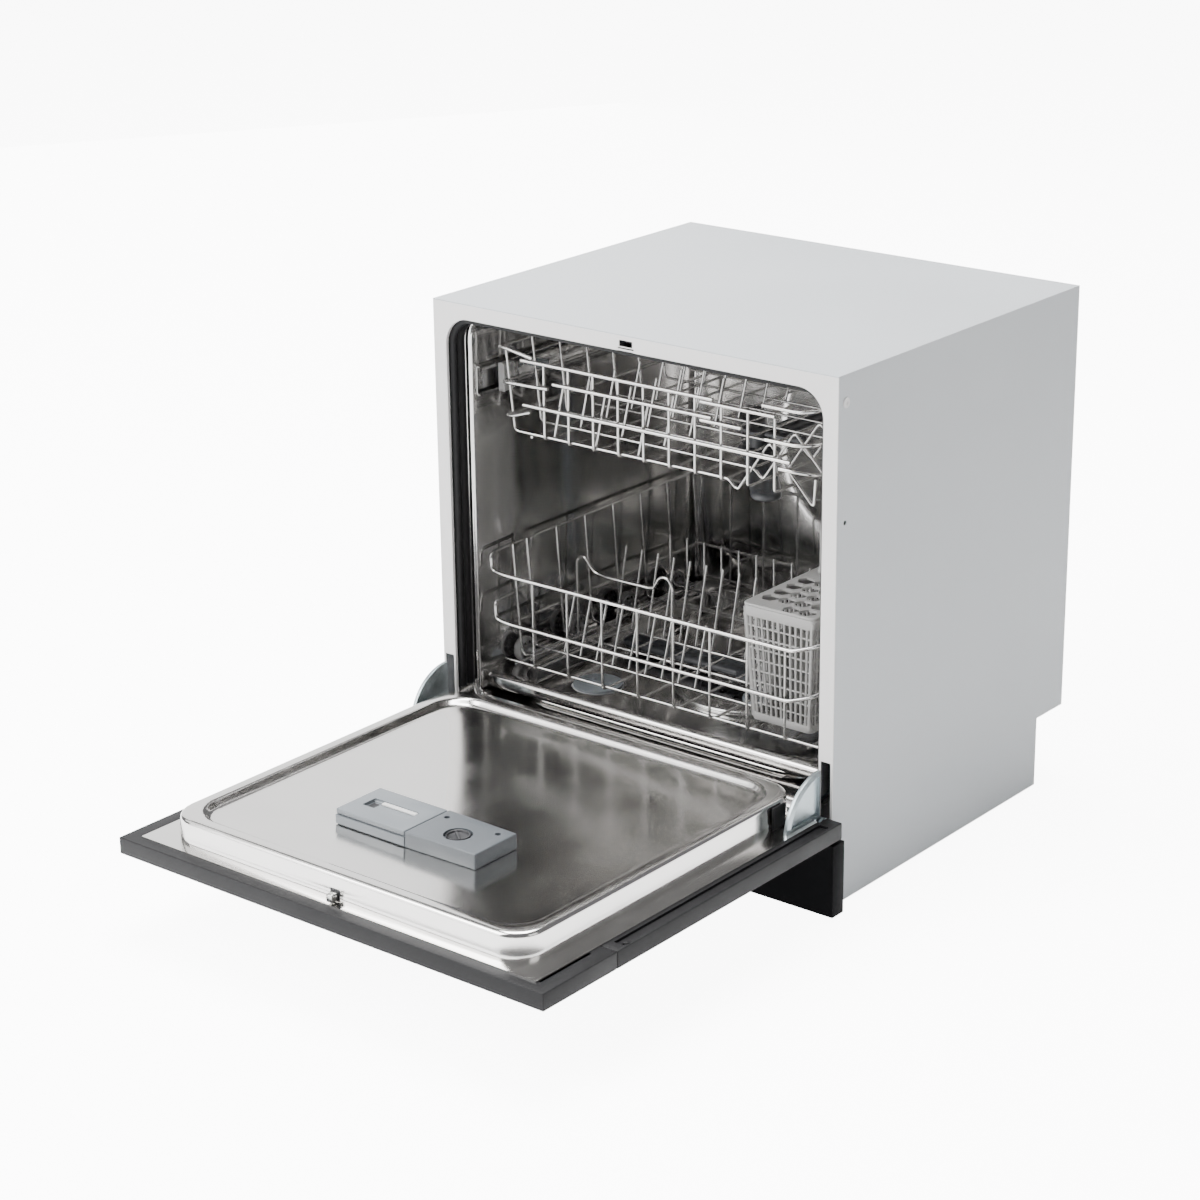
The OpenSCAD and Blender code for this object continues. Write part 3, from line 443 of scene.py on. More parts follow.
class Bench:
    """Modelling steps that the sub-assemblies share.

    Sizes are in millimetres, but for the constants STACK_GAP, SAME_PLACE and MERGE,
    which are in metres.
    """

    ROUND_STEPS = 7
    STACK_GAP = 0.02
    SAME_PLACE = 0.000001
    MERGE = 0.00001
    BEND_SHARE = 0.45
    WIRE_ANGLE = 50.0
    TIP_STEPS = (0.9, 0.35, 0.0)
    TIP_SHARES = (0.3, 0.8)

    @staticmethod
    def clear() -> None:
        """Leaves nothing selected."""
        for obj in bpy.context.selected_objects:
            obj.select_set(False)

    @staticmethod
    def pick(obj: Object) -> None:
        """Makes one object the selected and active one.

        Args:
            obj: The object.
        """
        Bench.clear()
        obj.select_set(True)
        bpy.context.view_layer.objects.active = obj

    @staticmethod
    def enter(obj: Object) -> None:
        """Enters edit mode with the whole of one object selected.

        Args:
            obj: The object.
        """
        Bench.pick(obj)
        bpy.ops.object.mode_set(mode="EDIT")
        bpy.ops.mesh.select_all(action="SELECT")

    @staticmethod
    def settle(name: str) -> Object:
        """Names the active object and puts its place into its mesh.

        Args:
            name: The object's name.

        Returns:
            The active object.
        """
        obj = bpy.context.object
        obj.name = name
        obj.data.name = name
        bpy.ops.object.transform_apply(location=True, rotation=True, scale=True)
        return obj

    @staticmethod
    def smooth(obj: Object, angle: float = 38.0) -> Object:
        """Smooth shading across the flatter edges.

        Args:
            obj: The piece.
            angle: The sharpest edge that is still smooth, in degrees.

        Returns:
            The piece.
        """
        Bench.pick(obj)
        bpy.ops.object.shade_smooth_by_angle(angle=math.radians(angle))
        return obj

    @staticmethod
    def modify(obj: Object, kind: str, **settings: object) -> Object:
        """Adds one modifier and applies it.

        Args:
            obj: The piece.
            kind: The modifier's type.
            settings: Its properties, by name.

        Returns:
            The piece.
        """
        Bench.pick(obj)
        modifier = obj.modifiers.new(kind.lower(), kind)
        for key, value in settings.items():
            setattr(modifier, key, value)
        bpy.ops.object.modifier_apply(modifier=modifier.name)
        return obj

    @staticmethod
    def bevel(obj: Object, width: float, segments: int = 2, angle: float = 35.0) -> Object:
        """Rounds the sharp edges."""
        return Bench.modify(obj, "BEVEL", width=width * MM, segments=segments,
            limit_method="ANGLE", angle_limit=math.radians(angle), harden_normals=False)

    @staticmethod
    def block(name: str, low: Point, high: Point, edge: float = 0.6, segments: int = 2) -> Object:
        """A box between two corners with rounded edges.

        Args:
            name: The object's name.
            low: The corner with the smaller x, y and z.
            high: The opposite corner.
            edge: How far the edges are rounded; 0 leaves them sharp.
            segments: How many faces go over a rounded edge.

        Returns:
            The box.
        """
        Bench.clear()
        a, b = at(*low), at(*high)
        bpy.ops.mesh.primitive_cube_add(size=1.0, location=(a + b) / 2, scale=b - a)
        obj = Bench.settle(name)
        return Bench.bevel(obj, edge, segments) if edge > 0 else obj

    @staticmethod
    def rod(name: str, start: Point, end: Point, radius: float, sides: int = 32,
            edge: float = 0.0, segments: int = 2) -> Object:
        """A round bar between two points.

        Args:
            name: The object's name.
            start: The middle of one end.
            end: The middle of the other end.
            radius: The bar's radius.
            sides: How many faces go round.
            edge: How far the rims are rounded; 0 leaves them sharp.
            segments: How many faces go over a rounded rim.

        Returns:
            The bar.
        """
        Bench.clear()
        a, b = at(*start), at(*end)
        turn = (b - a).to_track_quat("Z", "Y").to_euler()
        bpy.ops.mesh.primitive_cylinder_add(vertices=sides, radius=radius * MM, depth=(b - a).length,
            location=(a + b) / 2, rotation=turn)
        obj = Bench.settle(name)
        return Bench.bevel(obj, edge, segments) if edge > 0 else obj

    @staticmethod
    def faces(obj: Object, test: Callable[[Vector, Vector], bool]) -> None:
        """Enters edit mode with some faces selected.

        Args:
            obj: The piece.
            test: Takes a face's centre in millimetres and its normal, and says whether it is chosen.
        """
        Bench.pick(obj)
        bpy.ops.object.mode_set(mode="EDIT")
        bpy.ops.mesh.select_mode(type="FACE")
        bpy.ops.mesh.select_all(action="DESELECT")
        mesh = bmesh.from_edit_mesh(obj.data)
        for face in mesh.faces:
            centre = (face.calc_center_median() - at(0, 0, 0)) / MM
            face.select_set(test(centre, face.normal))
        bmesh.update_edit_mesh(obj.data)

    @staticmethod
    def leave() -> None:
        """Goes back to object mode."""
        bpy.ops.object.mode_set(mode="OBJECT")

    @staticmethod
    def sink(obj: Object, test: Callable[[Vector, Vector], bool], inset: float, depth: Point) -> None:
        """Insets some faces and pushes them in.

        Args:
            obj: The piece.
            test: Says which faces are chosen, from centre and normal.
            inset: The width of the rim that is left.
            depth: How far the rest is pushed along x, y and z.
        """
        Bench.faces(obj, test)
        bpy.ops.mesh.inset(thickness=inset * MM, depth=0.0)
        bpy.ops.mesh.extrude_region_move(TRANSFORM_OT_translate={"value": Vector(depth) * MM})
        Bench.leave()

    @staticmethod
    def recalc(obj: Object) -> Object:
        """Merges doubles and turns the faces outwards.

        Args:
            obj: The piece.

        Returns:
            The piece.
        """
        Bench.enter(obj)
        bpy.ops.mesh.remove_doubles(threshold=Bench.MERGE)
        bpy.ops.mesh.normals_make_consistent(inside=False)
        Bench.leave()
        return obj

    @staticmethod
    def join(name: str, parts: Sequence[Object]) -> Object:
        """Makes one object of several.

        Args:
            name: The object's name.
            parts: The pieces, which are used up.

        Returns:
            The first piece, which now holds them all.
        """
        Bench.clear()
        for part in parts:
            part.select_set(True)
        bpy.context.view_layer.objects.active = parts[0]
        if len(parts) > 1:
            bpy.ops.object.join()
        parts[0].name = name
        parts[0].data.name = name
        return parts[0]

    @staticmethod
    def copies(obj: Object, name: str, moves: Sequence[Point]) -> Object:
        """Joins moved copies of a piece into one object.

        Args:
            obj: The piece, which is used up.
            name: The name of the whole.
            moves: How far each copy is moved along x, y and z.

        Returns:
            One object that holds all the copies.
        """
        made = []
        for move in moves:
            twin = obj.copy()
            twin.data = obj.data.copy()
            twin.data.transform(Matrix.Translation(Vector(move) * MM))
            bpy.context.collection.objects.link(twin)
            made.append(twin)
        bpy.data.objects.remove(obj)
        return Bench.join(name, made)

    @staticmethod
    def mirrored(obj: Object) -> Object:
        """Adds the mirror image across the middle of the width."""
        return Bench.modify(obj, "MIRROR", use_axis=(True, False, False))

    @staticmethod
    def carve(obj: Object, cutters: Sequence[Object]) -> None:
        """Cuts shapes out of a piece.

        Args:
            obj: The piece.
            cutters: The shapes, which are used up.
        """
        for cutter in cutters:
            Bench.modify(obj, "BOOLEAN", operation="DIFFERENCE", solver="EXACT", object=cutter)
            bpy.data.objects.remove(cutter)

    @staticmethod
    def _corner(obj: Object, v: float, radius: float) -> None:
        """Rounds the two selected corners that share one v.

        Args:
            obj: The mesh in edit mode.
            v: Where the two corners are along v, in metres.
            radius: The radius they get.
        """
        bpy.ops.mesh.select_mode(type="VERT")
        mesh = bmesh.from_edit_mesh(obj.data)
        for vert in mesh.verts:
            vert.select_set(vert.select and abs(vert.co.y - v) < Bench.SAME_PLACE)
        mesh.select_flush(False)
        bmesh.update_edit_mesh(obj.data)
        bpy.ops.mesh.bevel(offset=radius * MM, offset_type="OFFSET", segments=Bench.ROUND_STEPS,
            affect="VERTICES", clamp_overlap=False)

    @staticmethod
    def _level(obj: Object, level: int) -> None:
        """Selects the vertices of one level of the stack.

        Args:
            obj: The mesh in edit mode.
            level: The level's number, from 0.
        """
        mesh = bmesh.from_edit_mesh(obj.data)
        for vert in mesh.verts:
            if abs(vert.co.z - level * Bench.STACK_GAP) < Bench.STACK_GAP / 4:
                vert.select_set(True)
        bmesh.update_edit_mesh(obj.data)

    @staticmethod
    def pressed(name: str, outlines: Sequence[Outline], plane: Plane,
            cap_first: bool = False, cap_last: bool = False) -> Object:
        """A pressed sheet that passes through rounded outlines.

        Args:
            name: The object's name.
            outlines: The outlines, in the order the sheet passes them.
            plane: TOP takes u, v and level as x, y and z; FRONT as x, z and y.
            cap_first: Whether the first outline is closed by a flat face.
            cap_last: Whether the last outline is closed by a flat face.

        Returns:
            The sheet, with no thickness.
        """
        Bench.clear()
        bpy.ops.mesh.primitive_plane_add(size=1.0)
        obj = bpy.context.object
        bpy.ops.object.mode_set(mode="EDIT")
        bpy.ops.mesh.select_all(action="SELECT")
        bpy.ops.mesh.delete(type="VERT")
        for i, line in enumerate(outlines):
            bpy.ops.mesh.select_all(action="DESELECT")
            middle = Vector(((line.u[0] + line.u[1]) / 2 * MM, (line.v[0] + line.v[1]) / 2 * MM,
                i * Bench.STACK_GAP))
            bpy.ops.mesh.primitive_plane_add(size=1.0, location=middle)
            size = ((line.u[1] - line.u[0]) * MM, (line.v[1] - line.v[0]) * MM, 1.0)
            bpy.ops.transform.resize(value=size, center_override=middle)
            for v, radius in ((line.v[0] * MM, line.r_low), (line.v[1] * MM, line.r_high)):
                bpy.ops.mesh.select_all(action="DESELECT")
                Bench._level(obj, i)
                Bench._corner(obj, v, radius)
        bpy.ops.mesh.select_mode(type="FACE")
        bpy.ops.mesh.select_all(action="SELECT")
        bpy.ops.mesh.delete(type="ONLY_FACE")
        bpy.ops.mesh.select_mode(type="VERT")
        for i in range(len(outlines) - 1):
            bpy.ops.mesh.select_all(action="DESELECT")
            Bench._level(obj, i)
            Bench._level(obj, i + 1)
            mesh = bmesh.from_edit_mesh(obj.data)
            mesh.select_flush(True)
            for edge in mesh.edges:
                spans = abs(edge.verts[0].co.z - edge.verts[1].co.z) > Bench.STACK_GAP / 4
                edge.select_set(edge.select and not spans)
            bmesh.update_edit_mesh(obj.data)
            bpy.ops.mesh.bridge_edge_loops()
        for wanted, level in ((cap_first, 0), (cap_last, len(outlines) - 1)):
            if wanted:
                bpy.ops.mesh.select_all(action="DESELECT")
                Bench._level(obj, level)
                bpy.ops.mesh.edge_face_add()
        Bench.leave()
        for vert in obj.data.vertices:
            line = outlines[round(vert.co.z / Bench.STACK_GAP)]
            u, v = vert.co.x / MM, vert.co.y / MM
            vert.co = at(u, v, line.level) if plane is Plane.TOP else at(u, line.level, v)
        obj.name = name
        obj.data.name = name
        return Bench.recalc(obj)

    @staticmethod
    def cut_below(obj: Object, place: Point, normal: Point, fill: bool = True) -> None:
        """Removes what lies behind a plane.

        Args:
            obj: The piece.
            place: A point of the plane.
            normal: The plane's normal, which points to the side that stays.
            fill: Whether the cut is closed.
        """
        Bench.enter(obj)
        bpy.ops.mesh.bisect(plane_co=at(*place), plane_no=normal, clear_inner=True, use_fill=fill)
        Bench.leave()

    @staticmethod
    def traced(name: str, chains: Sequence[Sequence[Vector]], radius: float = 0.0,
            end_shares: Sequence[float] = ()) -> Object:
        """A mesh along chains of places that are given in metres.

        Args:
            name: The object's name.
            chains: The places that each chain passes.
            radius: The radius of the round wires; 0 leaves bare edges.
            end_shares: What share of the radius each chain keeps at its last places, the last first.

        Returns:
            One object that holds all the chains.
        """
        curve = bpy.data.curves.new(name, "CURVE")
        curve.dimensions = "3D"
        curve.bevel_depth = radius * MM
        curve.bevel_resolution = 2
        curve.use_fill_caps = True
        for places in chains:
            spline = curve.splines.new("POLY")
            spline.points.add(len(places) - 1)
            for point, place in zip(spline.points, places):
                point.co = (*place, 1.0)
            for i, share in enumerate(end_shares):
                spline.points[-1 - i].radius = share
        obj = bpy.data.objects.new(name, curve)
        bpy.context.collection.objects.link(obj)
        Bench.pick(obj)
        bpy.ops.object.convert(target="MESH")
        return obj

    @staticmethod
    def turned(name: str, profile: Sequence[Span], centre: Point, axis: Axis = Axis.UP,
            steps: int = 48) -> Object:
        """A turned piece.

        Args:
            name: The object's name.
            profile: Radius and height of each point, from the axis round and back to it.
            centre: The point where height is 0.
            axis: The line it is turned about.
            steps: How many faces go round.

        Returns:
            The closed piece.
        """
        obj = Bench.traced(name, [[Vector((radius * MM, 0.0, height * MM)) for radius, height in profile]])
        Bench.enter(obj)
        bpy.ops.mesh.spin(steps=steps, angle=math.tau, center=(0.0, 0.0, 0.0), axis=(0.0, 0.0, 1.0))
        Bench.leave()
        obj.data.transform(Matrix.Translation(at(*centre)) @ Matrix.Rotation(axis.value, 4, "Y"))
        return Bench.recalc(obj)

    @staticmethod
    def bent(points: Sequence[Point], radius: float, steps: int = 5) -> list[Point]:
        """A route with its inner corners rounded.

        Args:
            points: The corner points.
            radius: The reach of each bend from its corner.
            steps: How many pieces a bend has.

        Returns:
            The route, with its ends where they were.
        """
        route = [Vector(points[0])]
        for before, here, after in zip(points, points[1:], points[2:]):
            a, b, c = Vector(before), Vector(here), Vector(after)
            reach = min(radius, (a - b).length * Bench.BEND_SHARE, (c - b).length * Bench.BEND_SHARE)
            p, q = b + (a - b).normalized() * reach, b + (c - b).normalized() * reach
            for i in range(steps + 1):
                t = i / steps
                route.append(p.lerp(b, t).lerp(b.lerp(q, t), t))
        route.append(Vector(points[-1]))
        return [tuple(point) for point in route]

    @staticmethod
    def spin(obj: Object, centre: Span, degrees: float) -> None:
        """Turns a mesh about an upright line.

        Args:
            obj: The piece.
            centre: The x and y of the line.
            degrees: How far it is turned, seen from above.
        """
        place = at(*centre, 0.0)
        turn = Matrix.Rotation(math.radians(degrees), 4, "Z")
        obj.data.transform(Matrix.Translation(place) @ turn @ Matrix.Translation(-place))

    @staticmethod
    def wires(name: str, routes: Sequence[Sequence[Point]], radius: float, bend: float = 6.0,
            tips: bool = False) -> Object:
        """Round wires bent along routes.

        Args:
            name: The object's name.
            routes: The corner points of each wire.
            radius: The wire's radius.
            bend: The reach of each bend from its corner.
            tips: Whether the last end of each wire is rounded over.

        Returns:
            One object that holds all the wires.
        """
        chains = []
        for route in routes:
            places = Bench.bent(route, bend) if len(route) > 2 else list(route)
            if tips:
                end, near = Vector(places[-1]), Vector(places[-2])
                along = (end - near).normalized() * radius
                places = places[:-1] + [tuple(end - along * step) for step in Bench.TIP_STEPS]
            chains.append([at(*place) for place in places])
        obj = Bench.traced(name, chains, radius, Bench.TIP_SHARES if tips else ())
        return Bench.smooth(obj, Bench.WIRE_ANGLE)

    @staticmethod
    def finish(obj: Object, look: Looks, body: str, *nodes: str) -> None:
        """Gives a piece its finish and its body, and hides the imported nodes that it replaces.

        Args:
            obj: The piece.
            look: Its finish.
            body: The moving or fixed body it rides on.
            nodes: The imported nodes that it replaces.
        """
        obj.data.materials.clear()
        obj.data.materials.append(look.value.make())
        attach(obj, body)
        if nodes:
            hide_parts(*nodes)
        LOG.info("piece %s: %d faces", obj.name, len(obj.data.polygons))

    @staticmethod
    def dress(look: Looks, *nodes: str) -> None:
        """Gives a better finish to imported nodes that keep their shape.

        Args:
            look: The finish.
            nodes: The nodes' names.
        """
        for name in nodes:
            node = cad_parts[name]
            if not node.material_slots:
                node.data.materials.append(None)
            for slot in node.material_slots:
                slot.material = look.value.make()


def pair(route: Sequence[Point]) -> list[list[Point]]:
    """A route and its mirror image across the width."""
    return [list(route), [(-x, y, z) for x, y, z in route]]


# ------------------------------------------------------------------ cabinet


@dataclass
class Cabinet:
    """Painted case, steel tub and what is fixed in it."""

    mouth: float = 257.0
    mouth_z: Span = (100.0, 577.0)
    mouth_r: float = 32.0
    inside: float = 249.0
    inside_z: Span = (118.0, 571.0)
    ledge_x: float = 213.0
    seal_foot: float = 132.2
    door_half: float = 292.0
    wells: tuple[tuple[float, float, float], ...] = ((0.0, 242.0, 70.0), (-150.0, 130.0, 32.0))

    def build(self) -> None:
        """Builds and dresses the whole cabinet."""
        self.case()
        self.flange()
        self.tub()
        self.floor()
        self.seal()
        self.plinth()

    def case(self) -> None:
        """Painted panels, machinery and inner fittings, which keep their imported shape."""
        Bench.dress(Looks.CASE, "side_panels", "top_panel", "back_panel")
        Bench.dress(Looks.FLANGE, "front_flange", "panel_screws")
        Bench.dress(Looks.DARK, "base_tray", "strike", "cable_gland", "drain_stub")
        Bench.dress(Looks.DARK, "circulation_pump", "sump")
        Bench.dress(Looks.RUBBER, "feet")
        Bench.dress(Looks.WHITE, "inlet_valve", "softener")
        Bench.dress(Looks.BLUE, "drain_pump")
        Bench.dress(Looks.HINGE, "hinge_brackets")
        Bench.dress(Looks.STEEL, "filter_plate")
        Bench.dress(Looks.RAIL, "heater")
        Bench.dress(Looks.GREY, "feed_duct", "salt_cap", "filter_cup")

    def ring(self, grow: float, level: float) -> Outline:
        """The mouth's outline, grown outwards."""
        low, high = self.mouth_z
        return Outline((-self.mouth - grow, self.mouth + grow), (low - grow, high + grow), level,
            self.mouth_r + grow, self.mouth_r + grow)

    def well_cutters(self, top: float) -> list[Object]:
        """Cutters for the filter well and the salt well, up to a height."""
        return [Bench.rod("well", (x, y, 90.0), (x, y, top), r, 64) for x, y, r in self.wells]

    def latch_slot(self) -> Object:
        """A cutter for the slot that takes the latch tongue."""
        return Bench.block("latch_slot", (-6.5, 0.5, 566.0), (6.5, 11.2, 584.0), 0.0)

    def flange(self) -> None:
        """Rolled lip of the front flange, round the mouth."""
        lip = Bench.pressed("mouth_lip", [
            self.ring(2.6, -0.12),
            self.ring(1.2, -0.12),
            self.ring(0.3, 0.3),
            self.ring(-0.08, 1.3),
            self.ring(-0.1, 3.5),
        ], Plane.FRONT)
        Bench.carve(lip, [self.latch_slot()])
        Bench.finish(Bench.smooth(lip), Looks.FLANGE, "cabinet")

    def box(self, shrink: float, level: float, r_low: float, r_high: float) -> Outline:
        """The inner box's outline, shrunk inwards."""
        half, (low, high) = self.inside - shrink, self.inside_z
        return Outline((-half, half), (low + shrink, high - shrink), level, r_low, r_high)

    def tub(self) -> None:
        """Collar, stepped box and dished back wall of the steel tub."""
        sheet = Bench.pressed("tub_shell", [
            self.ring(0.0, 3.0),
            self.ring(0.0, 27.0),
            self.ring(-0.8, 29.6),
            self.ring(-2.6, 31.0),
            Outline((-253.0, 253.0), (112.0, 574.6), 31.2, 18.0, 29.0),
            Outline((-250.4, 250.4), (117.0, 572.2), 32.4, 8.0, 28.0),
            self.box(0.0, 35.0, 5.0, 28.0),
            self.box(0.0, 240.0, 5.0, 28.0),
            self.box(0.0, 440.0, 5.0, 28.0),
            self.box(1.4, 447.0, 6.0, 27.0),
            self.box(7.0, 451.6, 8.0, 24.0),
            Outline.even(214.0, (168.0, 540.0), 451.6, 44.0),
            Outline.even(209.0, (173.0, 535.0), 449.6, 40.0),
            Outline.even(203.0, (179.0, 529.0), 448.6, 36.0),
            Outline.even(118.0, (232.0, 478.0), 448.6, 100.0),
            Outline.even(112.0, (238.0, 472.0), 450.4, 96.0),
            Outline.even(104.0, (246.0, 464.0), 451.2, 90.0),
        ], Plane.FRONT, cap_last=True)
        Bench.modify(sheet, "SOLIDIFY", thickness=0.8 * MM, offset=1.0)
        Bench.carve(sheet, [*self.well_cutters(150.0), self.latch_slot()])
        Bench.finish(Bench.smooth(sheet), Looks.STEEL, "cabinet", "tub")

    def floor(self) -> None:
        """Deep-drawn floor with the two ledges that the wheels run on."""
        front, rear, slope = 44.0, 440.0, 0.3

        def recess(shrink: float, level: float, r: float) -> Outline:
            """The outline of the sunk middle, shrunk inwards."""
            come = shrink * slope
            return Outline.even(self.ledge_x - shrink, (front + come, rear - come), level, r)

        sheet = Bench.pressed("tub_floor", [
            Outline.even(248.2, (36.0, 446.0), 128.0, 20.0),
            Outline.even(248.2, (35.4, 446.6), 139.0, 20.0),
            Outline.even(246.6, (37.0, 445.6), 141.3, 20.0),
            Outline.even(243.0, (38.6, 444.0), 141.9, 24.0),
            recess(-2.4, 141.9, 52.0),
            recess(-0.8, 141.2, 51.0),
            recess(0.0, 139.0, 50.0),
            recess(2.4, 124.0, 48.0),
            recess(4.4, 120.4, 46.0),
            recess(8.4, 119.2, 43.0),
        ], Plane.TOP, cap_last=True)
        Bench.modify(sheet, "SOLIDIFY", thickness=0.7 * MM, offset=1.0)
        Bench.carve(sheet, self.well_cutters(170.0))
        Bench.finish(Bench.smooth(sheet), Looks.STEEL, "cabinet", "wheel_tracks")

    def seal(self) -> None:
        """Rubber door seal: a bulb with a lip, down both sides and over the top."""
        rubber = Bench.pressed("door_seal", [
            self.ring(-0.25, 5.4),
            self.ring(-4.4, 5.6),
            self.ring(-6.2, 7.6),
            self.ring(-6.4, 11.0),
            self.ring(-4.8, 13.6),
            self.ring(-3.2, 14.6),
            self.ring(-3.4, 16.0),
            self.ring(-5.6, 18.0),
            self.ring(-6.4, 21.5),
            self.ring(-5.4, 25.4),
            self.ring(-3.0, 27.4),
            self.ring(-0.25, 27.8),
        ], Plane.FRONT)
        Bench.cut_below(rubber, (0.0, 0.0, self.seal_foot), (0.0, 0.0, 1.0), fill=False)
        Bench.modify(rubber, "SOLIDIFY", thickness=0.9 * MM, offset=1.0)
        Bench.finish(Bench.smooth(rubber, 50.0), Looks.RUBBER, "cabinet", "door_gasket")

    def plinth(self) -> None:
        """Black kick plate, hollow at the back, and its two brackets."""
        low, high = 4.0, 88.0
        panel = Bench.block("kick_plate", (-self.door_half, -21.0, low), (self.door_half, -0.1, high), 0.8)
        Bench.sink(panel, lambda c, n: n.y > 0.9, 3.0, (0.0, -17.0, 0.0))
        Bench.finish(Bench.smooth(panel), Looks.FRAME, "cabinet", "plinth")
        tabs = [Bench.block("plinth_tab", (x - 12.0, -17.9, 20.0), (x + 12.0, -0.1, 60.0), 1.0)
            for x in (-200.0, 200.0)]
        Bench.finish(Bench.join("plinth_tabs", tabs), Looks.HINGE, "cabinet")


# ------------------------------------------------------------------ runners


@dataclass
class Runners:
    """Telescopic runners of the upper rack."""

    z: float = 494.5
    height: float = 35.0
    front: float = 66.0
    rear: float = 425.0

    def build(self) -> None:
        """Builds the three members and the end caps."""
        self.outers()
        self.middles()
        self.inners()
        self.caps()

    def channel(self, name: str, x: Span, y: Span, height: float, lip: float) -> Object:
        """A C-shaped member open towards the rack.

        Args:
            name: The object's name.
            x: The member's sides; the first is the open one.
            y: Its front and rear ends.
            height: Its height.
            lip: How far the lips come in from its top and bottom.

        Returns:
            The member on the right side.
        """
        low, high = self.z - height / 2, self.z + height / 2
        outline = [(x[0], low + lip), (x[0], low), (x[1], low), (x[1], high), (x[0], high),
            (x[0], high - lip)]
        route = Bench.bent([(px, 0.0, pz) for px, pz in outline], 2.6, 4)
        obj = Bench.traced(name, [[at(px, y[0], pz) for px, _, pz in route]])
        Bench.enter(obj)
        bpy.ops.mesh.select_mode(type="EDGE")
        bpy.ops.mesh.select_all(action="SELECT")
        bpy.ops.mesh.extrude_region_move(TRANSFORM_OT_translate={"value": (0.0, (y[1] - y[0]) * MM, 0.0)})
        bpy.ops.mesh.select_mode(type="FACE")
        Bench.leave()
        Bench.recalc(obj)
        Bench.modify(obj, "SOLIDIFY", thickness=1.1 * MM, offset=-1.0)
        return obj

    def outers(self) -> None:
        """Outer members on the tub's walls."""
        member = self.channel("runner_outer", (240.6, 248.4), (40.0, 440.0), self.height - 1.0, 4.5)
        Bench.mirrored(member)
        Bench.finish(Bench.smooth(member), Looks.RAIL, "cabinet", "slide_outers")

    def middles(self) -> None:
        """Dark middle members with their ball cages."""
        member = Bench.block("runner_middle", (240.0, self.front + 10.0, 479.2),
            (246.6, self.rear, 509.8), 0.8)
        Bench.sink(member, lambda c, n: n.x < -0.9, 4.5, (2.4, 0.0, 0.0))
        ball = Bench.rod("ball", (241.2, 96.0, 484.0), (243.2, 96.0, 484.0), 2.4, 16, 0.7)
        pitch, rows_apart = 24.0, 20.6
        moves = [(0.0, pitch * i, rows_apart * j) for i in range(14) for j in range(2)]
        member = Bench.join("runner_middle", [member, Bench.copies(ball, "balls", moves)])
        Bench.mirrored(member)
        Bench.finish(Bench.smooth(member), Looks.DARK, "slide_middles", "slide_middles")

    def inners(self) -> None:
        """Bright inner members with a long pressed groove."""
        member = Bench.block("runner_inner", (233.0, self.front + 20.0, 480.2),
            (239.6, self.rear, 508.8), 1.4, 3)
        Bench.sink(member, lambda c, n: n.x < -0.9, 7.0, (2.2, 0.0, 0.0))
        holes = [Bench.rod("hole", (225.0, y, self.z + dz), (238.2, y, self.z + dz), 3.0, 24)
            for y, dz in ((178.0, 5.0), (136.0, 0.0), (380.0, 0.0))]
        Bench.carve(member, holes)
        Bench.bevel(member, 0.4, 2, 50.0)
        Bench.mirrored(member)
        Bench.finish(Bench.smooth(member), Looks.RAIL, "upper_rack", "slide_inners")

    def caps(self) -> None:
        """Flared end caps with grip ribs."""
        flare = (1.12, 1.0, 1.07)
        cap = Bench.block("runner_cap", (230.6, self.front, 479.4), (238.6, self.front + 19.8, 510.6), 0.0)
        Bench.faces(cap, lambda c, n: n.y < -0.9)
        bpy.ops.transform.resize(value=flare, center_override=at(237.0, self.front, self.z))
        bpy.ops.mesh.inset(thickness=1.6 * MM, depth=-2.2 * MM)
        Bench.leave()
        Bench.bevel(cap, 1.0, 3)
        rib = Bench.block("rib", (229.8, self.front + 4.0, 483.6), (231.4, self.front + 16.0, 484.8), 0.4)
        ribs = Bench.copies(rib, "ribs", [(0.0, 0.0, 5.0 * i) for i in range(5)])
        cap = Bench.mirrored(Bench.join("runner_cap", [cap, ribs]))
        Bench.finish(Bench.smooth(cap), Looks.CAP, "upper_rack", "slide_caps")


# ------------------------------------------------------------------ door


